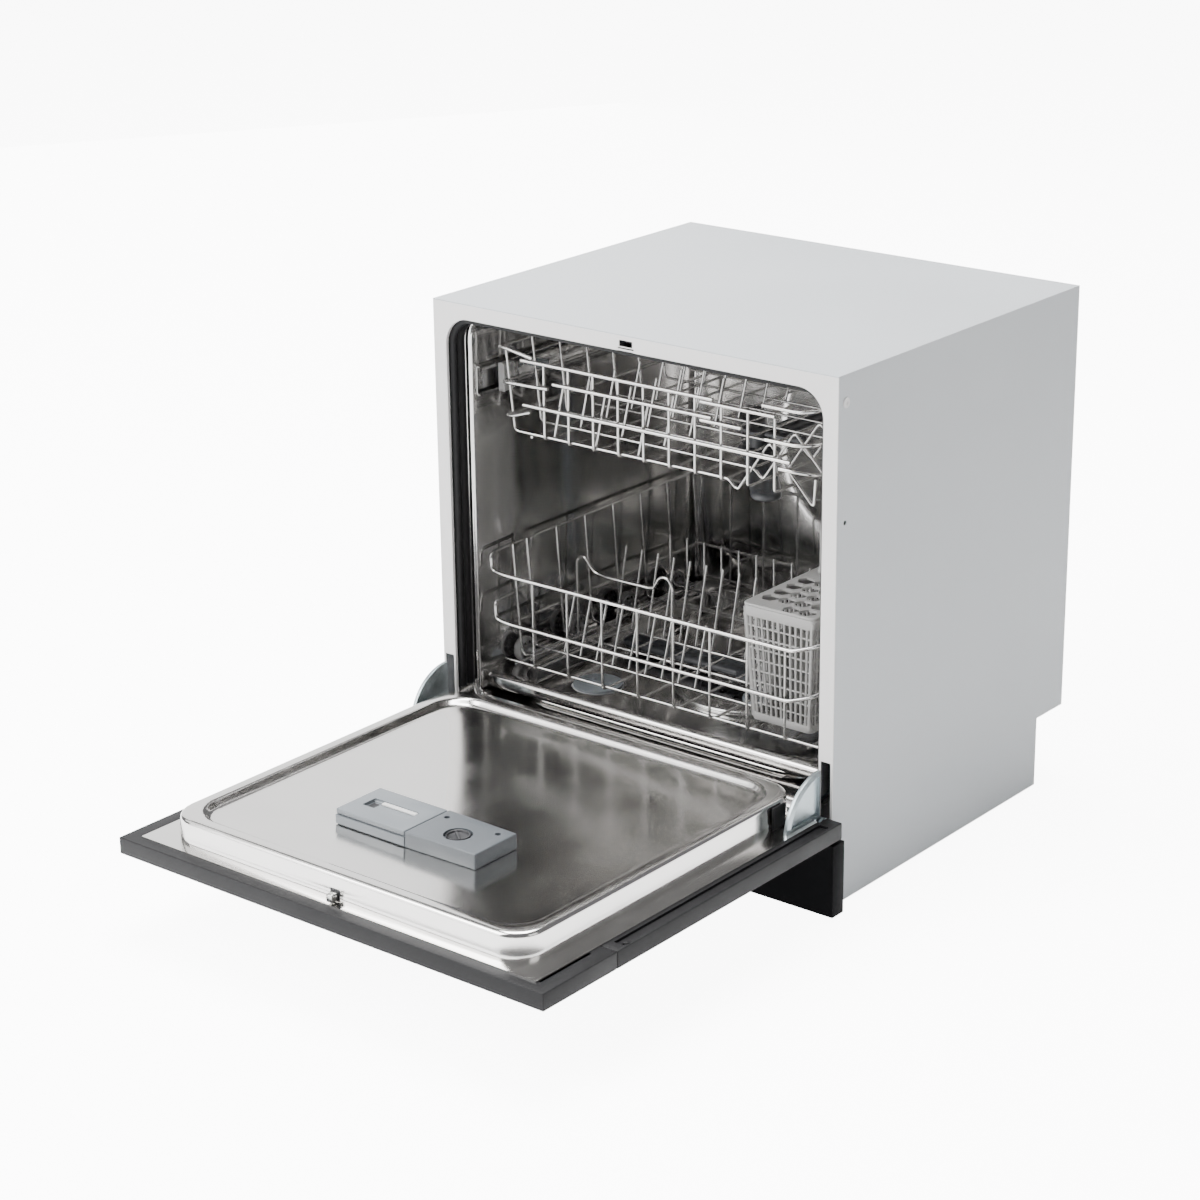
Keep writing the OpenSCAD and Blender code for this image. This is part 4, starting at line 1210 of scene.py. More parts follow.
@dataclass
class Door:
    """Drop-down door: black frame, steel inner pan, latch and controls."""

    half: float = 292.0
    front: float = -498.0
    rear: float = -5.0
    low: float = 91.3
    top: float = 110.4
    strip: float = -386.0
    pan_half: float = 246.0
    pan_front: float = -474.0
    pan_rear: float = -15.0
    hinge_x: Span = (262.0, 266.0)
    hinge_y: float = -9.1
    hinge_z: float = 103.2
    button_y: float = -445.0
    button_x: tuple[float, ...] = (120.0, 154.0, 188.0)
    button_r: float = 7.3
    button_low: float = 90.55
    power_x: float = -150.0
    power_r: float = 9.3
    power_low: float = 89.95

    def build(self) -> None:
        """Builds and dresses the whole door."""
        self.frame()
        self.controls()
        self.pan()
        self.latch()
        self.hinges()
        Bench.dress(Looks.DAMP, "door_fill")
        Bench.dress(Looks.DARK, "latch_case")

    def frame(self) -> None:
        """Frame with a trough along each side, and the glossy outer panel that covers it."""
        body = Bench.block("door_frame", (-self.half, self.strip, self.low + 0.4),
            (self.half, self.rear, self.top), 0.0)
        Bench.sink(body, lambda c, n: n.z > 0.9, 22.0, (0.0, 0.0, -16.0))
        Bench.bevel(body, 1.2, 3)
        cuts = []
        for side in (-1.0, 1.0):
            low, high = sorted((side * 260.5, side * 272.4))
            cuts.append(Bench.block("slot", (low, -19.0, 94.2), (high, 5.0, 130.0), 0.0))
            low, high = sorted((side * 276.0, side * 288.0))
            cuts.append(Bench.block("trough", (low, -372.0, 107.6), (high, -24.0, 120.0), 0.0))
        Bench.carve(body, cuts)
        Bench.finish(Bench.smooth(body, 30.0), Looks.EDGE, "door", "door_panel")
        glass = Bench.block("door_glass", (-self.half + 0.6, self.strip + 0.6, self.low),
            (self.half - 0.6, self.rear - 0.6, self.low + 0.5), 0.2)
        Bench.finish(glass, Looks.GLOSS, "door")

    def controls(self) -> None:
        """Control strip with its finger pull, display, buttons and print."""
        strip = Bench.block("control_strip", (-self.half, self.front, self.low),
            (self.half, self.strip - 0.4, self.top), 0.0)
        Bench.sink(strip, lambda c, n: n.z > 0.9, 18.0, (0.0, 0.0, -16.0))
        Bench.bevel(strip, 1.2, 3)
        grip = Bench.block("grip", (-120.0, -495.2, 80.0), (120.0, -481.4, 100.3), 5.0, 5)
        pane = Bench.block("pane", (-70.0, -462.0, 80.0), (70.0, -428.0, 92.5), 0.0)
        y, gap, height = self.button_y, 0.1, 8.9
        buttons = [("power_button", self.power_x, self.power_r, self.power_low)]
        for i, x in enumerate(self.button_x):
            buttons.append((f"button_{i + 1}", x, self.button_r, self.button_low))
        holes = [Bench.rod("hole", (x, y, 80.0), (x, y, 105.0), r + gap, 40) for _, x, r, _ in buttons]
        Bench.carve(strip, [grip, pane, *holes])
        Bench.finish(Bench.smooth(strip, 30.0), Looks.EDGE, "door", "control_panel")
        window = Bench.block("display_pane", (-69.9, -461.9, 91.4), (69.9, -428.1, 92.45), 0.3)
        Bench.finish(window, Looks.GLOSS, "door", "display_window")
        for name, x, r, low in buttons:
            high = low + height
            knob = Bench.turned(name + "_cap", [(0.0, low + 0.5), (r * 0.55, low + 0.4), (r * 0.82, low),
                (r - 0.4, low + 0.1), (r, low + 0.6), (r, high), (0.0, high)], (x, y, 0.0))
            Bench.finish(Bench.smooth(knob), Looks.DARK, name, name)
        self.lettering()

    def lettering(self) -> None:
        """Plain printed signs beside the buttons."""
        signs = [(str(i + 1), x, -426.0, 7.0) for i, x in enumerate(self.button_x)]
        signs.append(("ON / OFF", self.power_x, -424.0, 6.0))
        made = []
        for words, x, y, size in signs:
            Bench.clear()
            bpy.ops.object.text_add(location=at(x, y, self.low - 0.08), rotation=(math.pi, 0.0, 0.0))
            sign = bpy.context.object
            sign.data.body = words
            sign.data.size = size * MM
            sign.data.align_x = "CENTER"
            sign.data.extrude = 0.04 * MM
            bpy.ops.object.convert(target="MESH")
            made.append(Bench.settle("sign"))
        Bench.finish(Bench.join("printed_signs", made), Looks.PRINT, "door")

    def slab(self, shrink: float, level: float, r: float) -> Outline:
        """The raised tray's outline, shrunk inwards."""
        y = (self.pan_front + shrink, self.pan_rear - shrink)
        return Outline.even(self.pan_half - shrink, y, level, r)

    def pan(self) -> None:
        """Steel inner pan: flat flange, folded walls, broad rim and sunk floor."""
        base = self.top + 0.05
        sheet = Bench.pressed("door_tray", [
            Outline.even(272.0, (-484.0, -22.0), base, 1.0),
            Outline.even(272.0, (-484.0, -22.0), base + 1.35, 1.0),
            self.slab(0.1, base + 1.4, 37.0),
            self.slab(0.3, 119.6, 36.8),
            self.slab(0.9, 120.6, 36.3),
            self.slab(1.2, 136.6, 36.0),
            self.slab(1.7, 138.8, 35.6),
            self.slab(3.0, 140.6, 34.6),
            self.slab(5.2, 141.7, 33.2),
            self.slab(8.0, 142.0, 31.4),
            self.slab(14.0, 142.0, 38.0),
            self.slab(17.0, 141.3, 38.0),
            self.slab(19.2, 139.6, 38.0),
            self.slab(21.2, 136.6, 37.0),
            self.slab(24.2, 134.8, 36.0),
            self.slab(29.0, 134.05, 34.0),
        ], Plane.TOP, cap_last=True)
        Bench.modify(sheet, "SOLIDIFY", thickness=0.7 * MM, offset=-1.0)
        slot = Bench.block("slot", (-7.0, -500.0, 112.4), (7.0, self.pan_front + 6.0, 125.4), 2.0, 3)
        Bench.carve(sheet, [slot])
        Bench.finish(Bench.smooth(sheet, 40.0), Looks.PAN, "door", "door_pan")

    def latch(self) -> None:
        """Latch tongue, side flaps and rubber buffers."""
        tongue = Bench.block("latch_hook", (-4.0, -483.0, 113.6), (4.0, -446.0, 122.2), 1.2, 3)
        Bench.finish(Bench.smooth(tongue), Looks.RAIL, "latch_tongue", "latch_tongue")
        flap = Bench.block("corner_flap", (246.2, -70.0, 112.0), (249.7, -48.0, 137.8), 1.4, 3)
        Bench.finish(Bench.smooth(Bench.mirrored(flap)), Looks.RUBBER, "door", "pan_baffles")
        bump = Bench.turned("door_buffer", [(0.0, 107.5), (3.0, 107.5), (3.0, 110.6), (4.1, 110.9),
            (4.1, 111.3), (2.6, 111.5), (0.0, 111.5)], (286.0, -366.0, 0.0), steps=28)
        Bench.finish(Bench.smooth(Bench.mirrored(bump)), Looks.RUBBER, "door", "door_buffers")

    def hinges(self) -> None:
        """Quarter-round hinge arms with a pressed rim."""
        (left, right), y, z = self.hinge_x, self.hinge_y, self.hinge_z
        reach, hub_r, bore_r = 61.8, 8.0, 4.06
        plate = Bench.rod("hinge_arm", (left, y, z), (right, y, z), reach, 128)
        Bench.cut_below(plate, (left, y, z), (0.0, -1.0, 0.0))
        Bench.cut_below(plate, (left, y, self.top + 1.6), (0.0, 0.0, 1.0))
        Bench.bevel(plate, 0.5, 2)
        Bench.sink(plate, lambda c, n: n.x > 0.9 and c.x > 265.0, 5.0, (-1.4, 0.0, 0.0))
        hub = Bench.rod("hub", (left, y, z), (right, y, z), hub_r, 40, 0.4)
        web = Bench.block("web", (left + 0.2, y - 7.6, z), (right - 0.2, y, self.top + 2.4), 0.2)
        arm = Bench.join("hinge_arm", [plate, hub, web])
        Bench.carve(arm, [Bench.rod("bore", (left - 4.0, y, z), (right + 4.0, y, z), bore_r, 32)])
        Bench.mirrored(arm)
        Bench.finish(Bench.smooth(arm), Looks.HINGE, "door", "hinge_arms")


# ------------------------------------------------------------------ dispenser


@dataclass
class Dispenser:
    """Detergent and rinse-aid unit in the door pan."""

    x: Span = (-96.0, 96.0)
    y: Span = (-372.0, -302.0)
    floor: float = 134.0
    split: float = 146.0
    top: float = 152.0
    cap_place: Span = (50.0, -343.0)

    def build(self) -> None:
        """Builds the housing, the sliding lid and the rinse-aid cap."""
        self.housing()
        self.lid()
        self.cap()

    def housing(self) -> None:
        """Housing: a low tray under the lid and a raised block beside it."""
        (left, right), (front, rear), foot = self.x, self.y, self.floor + 0.1
        tray = Bench.block("tray", (left, front, foot), (1.4, rear, self.split - 0.1), 1.2, 3)
        cup = Bench.block("cup", (-84.0, front + 8.0, self.floor + 3.0), (-12.0, rear - 8.0, 160.0), 7.0, 6)
        grooves = [Bench.block("groove", (-100.0, front - 2.0, low), (0.6, front + 3.6, high), 0.0)
            for low, high in ((133.0, 135.6), (144.9, 147.0))]
        Bench.carve(tray, [cup, *grooves])
        block = Bench.block("block", (1.8, front, foot), (right, rear, self.top), 0.0)
        Bench.faces(block, lambda c, n: n.x > 0.9)
        bpy.ops.transform.resize(value=(1.0, 0.93, 1.0), center_override=at(96.0, -337.0, 143.0))
        Bench.leave()
        Bench.bevel(block, 1.6, 4)
        well = Bench.rod("well", (*self.cap_place, 147.4), (*self.cap_place, 160.0), 15.4, 48)
        holes = [Bench.rod("hole", (x, -318.0, 149.0), (x, -318.0, 160.0), 3.3, 24) for x in (12.5, 82.0)]
        Bench.carve(block, [well, *holes])
        Bench.finish(Bench.smooth(tray, 30.0), Looks.GREY, "door")
        Bench.finish(Bench.smooth(block, 30.0), Looks.SLATE, "door", "dispenser")

    def lid(self) -> None:
        """Sliding lid with its sunk finger slot, a painted highlight strip along the slot and a painted shade
        sheet in its pit.
        """
        lid = Bench.block("dispenser_slide", (-95.4, self.y[0] + 1.2, self.split + 0.1),
            (0.6, self.y[1] - 1.2, self.top), 1.3, 3)
        slot = Bench.block("slot", (-80.0, -347.0, 149.3), (-17.0, -327.0, 160.0), 1.6, 3)
        pit = Bench.block("pit", (-80.0, -345.0, 147.4), (-68.0, -329.0, 160.0), 1.6, 3)
        Bench.carve(lid, [slot, pit])
        # A thin dark sheet on the pit's floor: painted shade for the deep end of the slot.
        pit_shade_sheet = Bench.block("pit_shade_sheet", (-79.0, -344.0, 147.3), (-69.0, -330.0, 147.9), 0.2)
        # A white strip along the slot's back wall: a painted highlight on the slot's edge.
        slot_highlight_strip = Bench.block("slot_highlight_strip", (-66.0, -333.0, 149.0), (-18.6, -327.6, 151.7), 1.2, 3)
        Bench.finish(Bench.smooth(slot_highlight_strip), Looks.WHITE, "dispenser_lid")
        Bench.finish(Bench.smooth(lid, 30.0), Looks.GREY, "dispenser_lid", "dispenser_lid")
        Bench.finish(pit_shade_sheet, Looks.DARK, "dispenser_lid")

    def cap(self) -> None:
        """Round rinse-aid cap with a finger bar across its dish."""
        cap = Bench.turned("rinse_knob", [(0.0, 149.0), (9.6, 149.0), (10.6, 149.4), (11.4, 151.4),
            (12.4, 151.9), (12.9, 151.2), (12.9, 148.1), (0.0, 148.1)], (*self.cap_place, 0.0))
        bar = Bench.block("bar", (40.2, -344.6, 148.9), (59.8, -341.4, 151.2), 0.8, 3)
        Bench.spin(bar, self.cap_place, -38.0)
        knob = Bench.join("rinse_knob", [cap, bar])
        Bench.finish(Bench.smooth(knob), Looks.DARK, "rinse_cap", "rinse_cap")


# ------------------------------------------------------------------ racks


@dataclass
class Rack:
    """What both wire racks share: a basket of bent wires that leans outwards."""

    front: float = 44.0
    rear: float = 430.0
    half: float = 238.0
    foot: float = 224.0
    base: float = 160.0
    top: float = 290.0
    front_top: float = 266.0
    bays: int = 7
    rail: float = 2.3
    wire: float = 1.6
    lay: float = 3.95
    step: float = 3.25

    def cross(self, i: int) -> float:
        """Place of one base cross wire along the rack.

        Args:
            i: The wire's number, from the front.

        Returns:
            Its y.
        """
        first = self.front + self.lay + self.step
        last = self.rear - self.step - self.wire
        return first + i * (last - first) / self.bays

    def lean(self, z: float) -> float:
        """Half width of the leaning side at height z."""
        top_x = self.half - self.lay - 0.1
        return self.foot - 1.0 + (top_x - self.foot + 1.0) * (z - self.base) / (self.top - self.base)

    def belt_x(self, z: float) -> float:
        """Half width of a rail that runs outside the leaning side at height z."""
        return self.lean(z) + self.lay + 0.1

    def right_corner(self, start: float, half: float, low: float, high: float, r: float) -> list[Point]:
        """A front rail from x = start round the right corner, where it climbs."""
        y, rise = self.front, high - low
        return [(start, y, low), (half - r, y, low), (half - 0.5 * r, y + 0.2 * r, low + 0.3 * rise),
            (half - 0.13 * r, y + 0.62 * r, low + 0.7 * rise), (half, y + r + 6.0, high)]

    def long_wires(self, count: int) -> list[list[Point]]:
        """Lengthwise wires bent up at the front and the back.

        Args:
            count: How many wires there are.

        Returns:
            Their routes.
        """
        routes = []
        under, reach = self.base - self.step, self.foot - 46.0
        front, rear = self.front + self.lay, self.rear - self.wire
        for i in range(count):
            x = -reach + i * 2 * reach / (count - 1)
            routes.append([(x, front, self.front_top), (x, front, under), (x, rear, under),
                (x, rear, self.top)])
        return routes


@dataclass
class LowerRack(Rack):
    """Lower rack on wheels, with plate tines and a fold-down row."""

    wheel_z: float = 157.05
    wheel_y: float = 95.0
    wheels_apart: float = 97.0
    bend: float = 7.0

    def build(self) -> None:
        """Builds the rack, its wheels and the folding row."""
        self.rails()
        self.grid()
        self.tines()
        self.axles()
        self.wheels()
        self.folding_row()

    def rails(self) -> None:
        """Thick rails: the stepped top rail, the front belt and the side belts."""
        half, top, y = self.half, self.top, self.front
        hook = [(half, self.rear, top), (half, y + 75.0, top + 0.4), (half, y + 69.0, top - 13.5),
            (half, y + 57.0, top - 15.2)]
        front_rail = [(-half, y + 60.0, top + 0.6), (-half, y + 1.0, top - 1.0), (-half + 1.5, y, top - 22.0),
            (-half + 22.0, y, self.front_top)]
        front_rail += self.right_corner(0.0, half, self.front_top, top, 48.0) + [(half, y + 60.0, top)]
        belt, low = self.belt_x(top - 59.0), top - 83.0
        front_belt = [(-belt, y + 57.0, top - 57.0), (-belt, y + 1.0, top - 59.0),
            (-belt + 1.5, y, low + 2.0), (-belt + 22.0, y, low)]
        front_belt += self.right_corner(0.0, belt, low, top - 60.0, 48.0) + [(belt, y + 60.0, top - 60.0)]
        under, back = top - 93.0, self.rear + self.rail
        side = self.belt_x(under)
        routes = [*pair(hook), front_rail, front_belt]
        routes += pair([(side, self.rear, under), (side, y + 34.0, under)])
        routes.append([(-half, back, top), (half, back, top)])
        routes.append([(-side, back, under), (side, back, under)])
        rails = Bench.wires("lower_rails", routes, self.rail, self.bend)
        Bench.finish(rails, Looks.COAT, "lower_rack", "lower_rack")

    def grid(self) -> None:
        """Cross wires bent up into both sides, long wires and the two front posts."""
        first, top_x, tip = self.cross(0), self.lean(self.top), self.top + 1.4
        foot, base, under = self.foot, self.base, self.base - self.step
        routes = self.long_wires(8) + [[(-foot, first, base), (foot, first, base)]]
        for i in range(1, self.bays + 1):
            y = self.cross(i)
            routes.append([(-top_x, y, tip), (-foot, y, base), (foot, y, base), (top_x, y, tip)])
        y, edge_x = self.front + 35.0, 208.0
        routes.append([(-top_x, y, tip), (-foot + 1.0, y, base + 1.0), (-foot + 8.0, y, under),
            (-edge_x, self.front + 60.0, under)])
        edge = [(edge_x, self.front + 6.0, under), (edge_x, self.rear - 2.0, under)]
        grid = Bench.wires("lower_grid", routes + pair(edge), self.wire, self.bend)
        Bench.finish(grid, Looks.COAT, "lower_rack")
        y = self.front + 60.0
        post = [(top_x, y, self.top + 2.0), (foot - 1.0, y, base + 6.0)]
        posts = Bench.wires("corner_posts", pair(post), 2.1)
        Bench.finish(posts, Looks.COAT, "lower_rack")
        self.guard()

    def guard(self) -> None:
        """Humped wire that steadies the plates."""
        y = self.cross(2) - self.wire - 2.05
        outline = [(-199.0, self.base), (-199.0, 260.0), (-188.0, 265.5), (-173.0, 247.5),
            (-153.0, 245.8), (-93.0, 246.0), (-84.5, 248.0), (-76.0, 262.8), (-64.0, 263.8),
            (-57.5, 254.0), (-59.0, self.base)]
        guard = Bench.wires("plate_guard", [[(x, y, z) for x, z in outline]], 2.0, self.bend)
        Bench.finish(guard, Looks.COAT, "lower_rack")

    def tines(self) -> None:
        """Fixed plate tines, leaning back."""
        routes = []
        for k in range(9):
            for i, start, height in ((3, -190.0, 96.0), (1, -182.0, 70.0)):
                x, y = start + 24.0 * k, self.cross(i) + self.step
                routes.append([(x, y, self.base - 1.0), (x, y + 22.0, self.base + height)])
        tines = Bench.wires("plate_tines", routes, self.wire, 4.0, tips=True)
        Bench.finish(tines, Looks.COAT, "lower_rack")

    def axles(self) -> None:
        """Axle stubs on their carrier bars."""
        parts = []
        for k in range(4):
            y = self.wheel_y + k * self.wheels_apart
            parts.append(Bench.rod("axle", (216.0, y, self.wheel_z), (239.0, y, self.wheel_z), 3.0, 24, 0.5))
        for k in (0, 2):
            y = self.wheel_y + k * self.wheels_apart
            parts.append(Bench.block("carrier", (211.0, y - 12.0, self.wheel_z - 8.0),
                (216.0, y + self.wheels_apart + 12.0, self.wheel_z + 0.5), 1.2, 3))
        axles = Bench.mirrored(Bench.join("wheel_carriers", parts))
        Bench.finish(Bench.smooth(axles), Looks.WHEEL, "lower_rack")

    def wheels(self) -> None:
        """Spoked wheels with a raised hub and tread."""
        for k in range(4):
            y = self.wheel_y + k * self.wheels_apart
            wheel = Bench.turned("wheel", [(3.1, 0.0), (6.0, 0.0), (6.4, 1.6), (11.4, 2.2), (12.0, 0.3),
                (13.4, 0.1), (14.2, 0.9), (14.9, 3.0), (14.9, 8.6), (14.2, 10.9), (13.4, 11.8),
                (12.0, 11.6), (11.4, 9.6), (6.4, 9.8), (5.6, 12.0), (3.1, 12.0), (3.1, 0.0)],
                (226.5, y, self.wheel_z), Axis.ACROSS, 40)
            holes, spokes, hole_ring = [], 6, 8.6
            for a in range(spokes):
                turn = math.radians(360.0 * a / spokes)
                dy, dz = hole_ring * math.cos(turn), hole_ring * math.sin(turn)
                holes.append(Bench.rod("hole", (224.0, y + dy, self.wheel_z + dz),
                    (240.0, y + dy, self.wheel_z + dz), 2.3, 16))
            Bench.carve(wheel, [Bench.join("holes", holes)])
            Bench.mirrored(wheel)
            wheel.name = f"wheels_{k + 1}"
            Bench.finish(Bench.smooth(wheel, 30.0), Looks.WHEEL, f"wheel_row_{k + 1}", f"wheel_row_{k + 1}")

    def folding_row(self) -> None:
        """Row of tines on its own turning wire."""
        y, z = self.cross(5), self.base + 2 * self.wire + 0.3
        pivot = Bench.wires("pivot", [[(-196.0, y, z), (60.0, y, z)]], self.wire)
        places = [(-190.0 + 26.0 * k, y + self.step) for k in range(10)]
        tines = [[(*place, z - 1.0), (*place, z + 84.0)] for place in places]
        row = Bench.join("folding_tines", [pivot, Bench.wires("tines", tines, self.wire, 4.0, tips=True)])
        Bench.finish(row, Looks.COAT, "tine_row", "tine_row")


@dataclass
class UpperRack(Rack):
    """Upper rack on runners, with cup tines and cross wires folded along the right side."""

    front: float = 48.0
    half: float = 221.0
    foot: float = 205.0
    base: float = 440.0
    top: float = 538.0
    front_top: float = 524.0
    bays: int = 8

    def build(self) -> None:
        """Builds the rack and its clips, and dresses the feed tube."""
        self.rails()
        self.grid()
        self.tines()
        self.clips()
        Bench.dress(Looks.ARM, "upper_feed")

    def rails(self) -> None:
        """Side rails, front bars with overlapping ends and the back rail."""
        y, back = self.front, self.rear + self.rail
        routes = [[(-self.half, back, self.top), (self.half, back, self.top)]]
        for side_z, tip_z, tip_x, start, low in ((538.0, 531.0, -172.0, 146.0, 532.0),
                (498.0, 499.0, -150.0, 150.0, 495.0), (460.0, 468.0, -176.0, 168.0, 466.0)):
            half = self.half if side_z == self.top else self.belt_x(side_z)
            routes.append([(-half, self.rear, side_z), (-half, y + 0.6, side_z - 0.6),
                (-half + 8.0, y, side_z - 0.6), (tip_x, y, tip_z)])
            routes.append(self.right_corner(start, half, low, side_z, 28.0) + [(half, self.rear, side_z)])
        for x0, x1, z in ((-188.0, 80.0, 526.6), (64.0, 162.0, 522.0), (-142.0, 78.0, 506.0),
                (64.0, 118.0, 501.4), (-186.0, 182.0, 475.0)):
            routes.append([(x0, y, z), (x1, y, z)])
        rails = Bench.wires("upper_rails", routes, self.rail, 8.0)
        Bench.finish(rails, Looks.COAT, "upper_rack", "upper_rack")

    def grid(self) -> None:
        """Long wires and cross wires, which fold up and down along the right side."""
        routes = self.long_wires(10)
        dip, peak = self.base - 11.0, self.base + 50.0
        for i in range(self.bays + 1):
            y, top_x = self.cross(i), self.lean(self.top)
            route = [(-top_x, y, self.top), (-self.foot, y, self.base), (96.0, y, self.base), (108.0, y, dip),
                (150.0, y, peak), (self.foot + 3.0, y, dip), (top_x, y, self.top)]
            routes.append(route if i > 0 else route[:-1] + [(self.foot + 5.0, y, self.base + 20.0)])
        under = self.base - self.step
        routes.append([(-180.0, self.front + 6.0, under), (-180.0, self.rear - 2.0, under)])
        grid = Bench.wires("upper_grid", routes, self.wire, 6.0)
        Bench.finish(grid, Looks.COAT, "upper_rack")

    def tines(self) -> None:
        """Rows of leaning cup tines."""
        tines = []
        for i in range(8):
            y = self.cross(i) + self.step
            for x in (-150.0, -90.0, -30.0):
                tines.append([(x, y, self.base - 0.8), (x + 14.0, y, self.base + 62.0)])
        made = Bench.wires("cup_tines", tines, self.wire, 4.0, tips=True)
        Bench.finish(made, Looks.COAT, "upper_rack")

    def clips(self) -> None:
        """Plastic clips that tie the runners to the rack."""
        parts = [Bench.block("clip", (211.0, y, 501.0), (232.9, y + 16.0, 506.5), 1.2, 3)
            for y in (108.0, 340.0)]
        clips = Bench.mirrored(Bench.join("runner_clips", parts))
        Bench.finish(Bench.smooth(clips), Looks.GREY, "upper_rack")


# ------------------------------------------------------------------ spray arms


@dataclass
class SprayArm:
    """One spray arm: a hollow wing with nozzles on both sides of its hub."""

    name: str
    node: str
    low: float
    high: float
    reach: float
    turn: float = 0.0
    centre_y: float = 242.0

    def section(self, shrink: float, half: float, level: float) -> Outline:
        """The wing's outline at one level, with nearly round ends."""
        y = (self.centre_y - half, self.centre_y + half)
        return Outline.even(self.reach - shrink, y, level, half - 0.2)

    def build(self) -> None:
        """Builds the wing, the hub and the nozzles, turns them and dresses them."""
        cy, low, high = self.centre_y, self.low, self.high
        wing = Bench.pressed(self.name, [
            self.section(6.0, 11.0, low + 1.2),
            self.section(1.6, 15.4, low + 2.4),
            self.section(0.0, 17.0, low + 4.6),
            self.section(0.0, 17.0, high - 4.2),
            self.section(1.8, 15.2, high - 2.0),
            self.section(5.6, 11.4, high - 1.1),
            self.section(9.0, 6.0, high - 1.1),
            self.section(12.0, 4.2, high - 2.2),
        ], Plane.TOP, cap_first=True, cap_last=True)
        hub = Bench.turned("hub", [(6.1, low), (20.0, low), (25.0, low + 2.0), (26.0, low + 5.0),
            (25.0, high - 3.0), (20.0, high - 1.0), (12.0, high), (6.1, high), (6.1, low)],
            (0.0, cy, 0.0), steps=56)
        Bench.carve(wing, [Bench.rod("bore", (0.0, cy, low - 9.0), (0.0, cy, high + 9.0), 10.0, 40)])
        nozzles = []
        for side in (-1, 1):
            for i in range(4):
                x, dy = side * (50.0 + 36.0 * i), (8.0 if i % 2 == 0 else -8.0)
                nozzles.append(Bench.turned("nozzle", [(0.0, high - 1.2), (1.4, high - 1.2),
                    (2.0, high - 0.5), (3.0, high - 0.6), (3.8, high - 1.6), (3.8, high - 3.0),
                    (0.0, high - 3.0)], (x, cy + dy * side, 0.0), steps=20))
        arm = Bench.join(self.name, [wing, hub, *nozzles])
        Bench.spin(arm, (0.0, cy), self.turn)
        Bench.finish(Bench.smooth(arm, 40.0), Looks.ARM, self.node, self.node)


# ------------------------------------------------------------------ cutlery basket


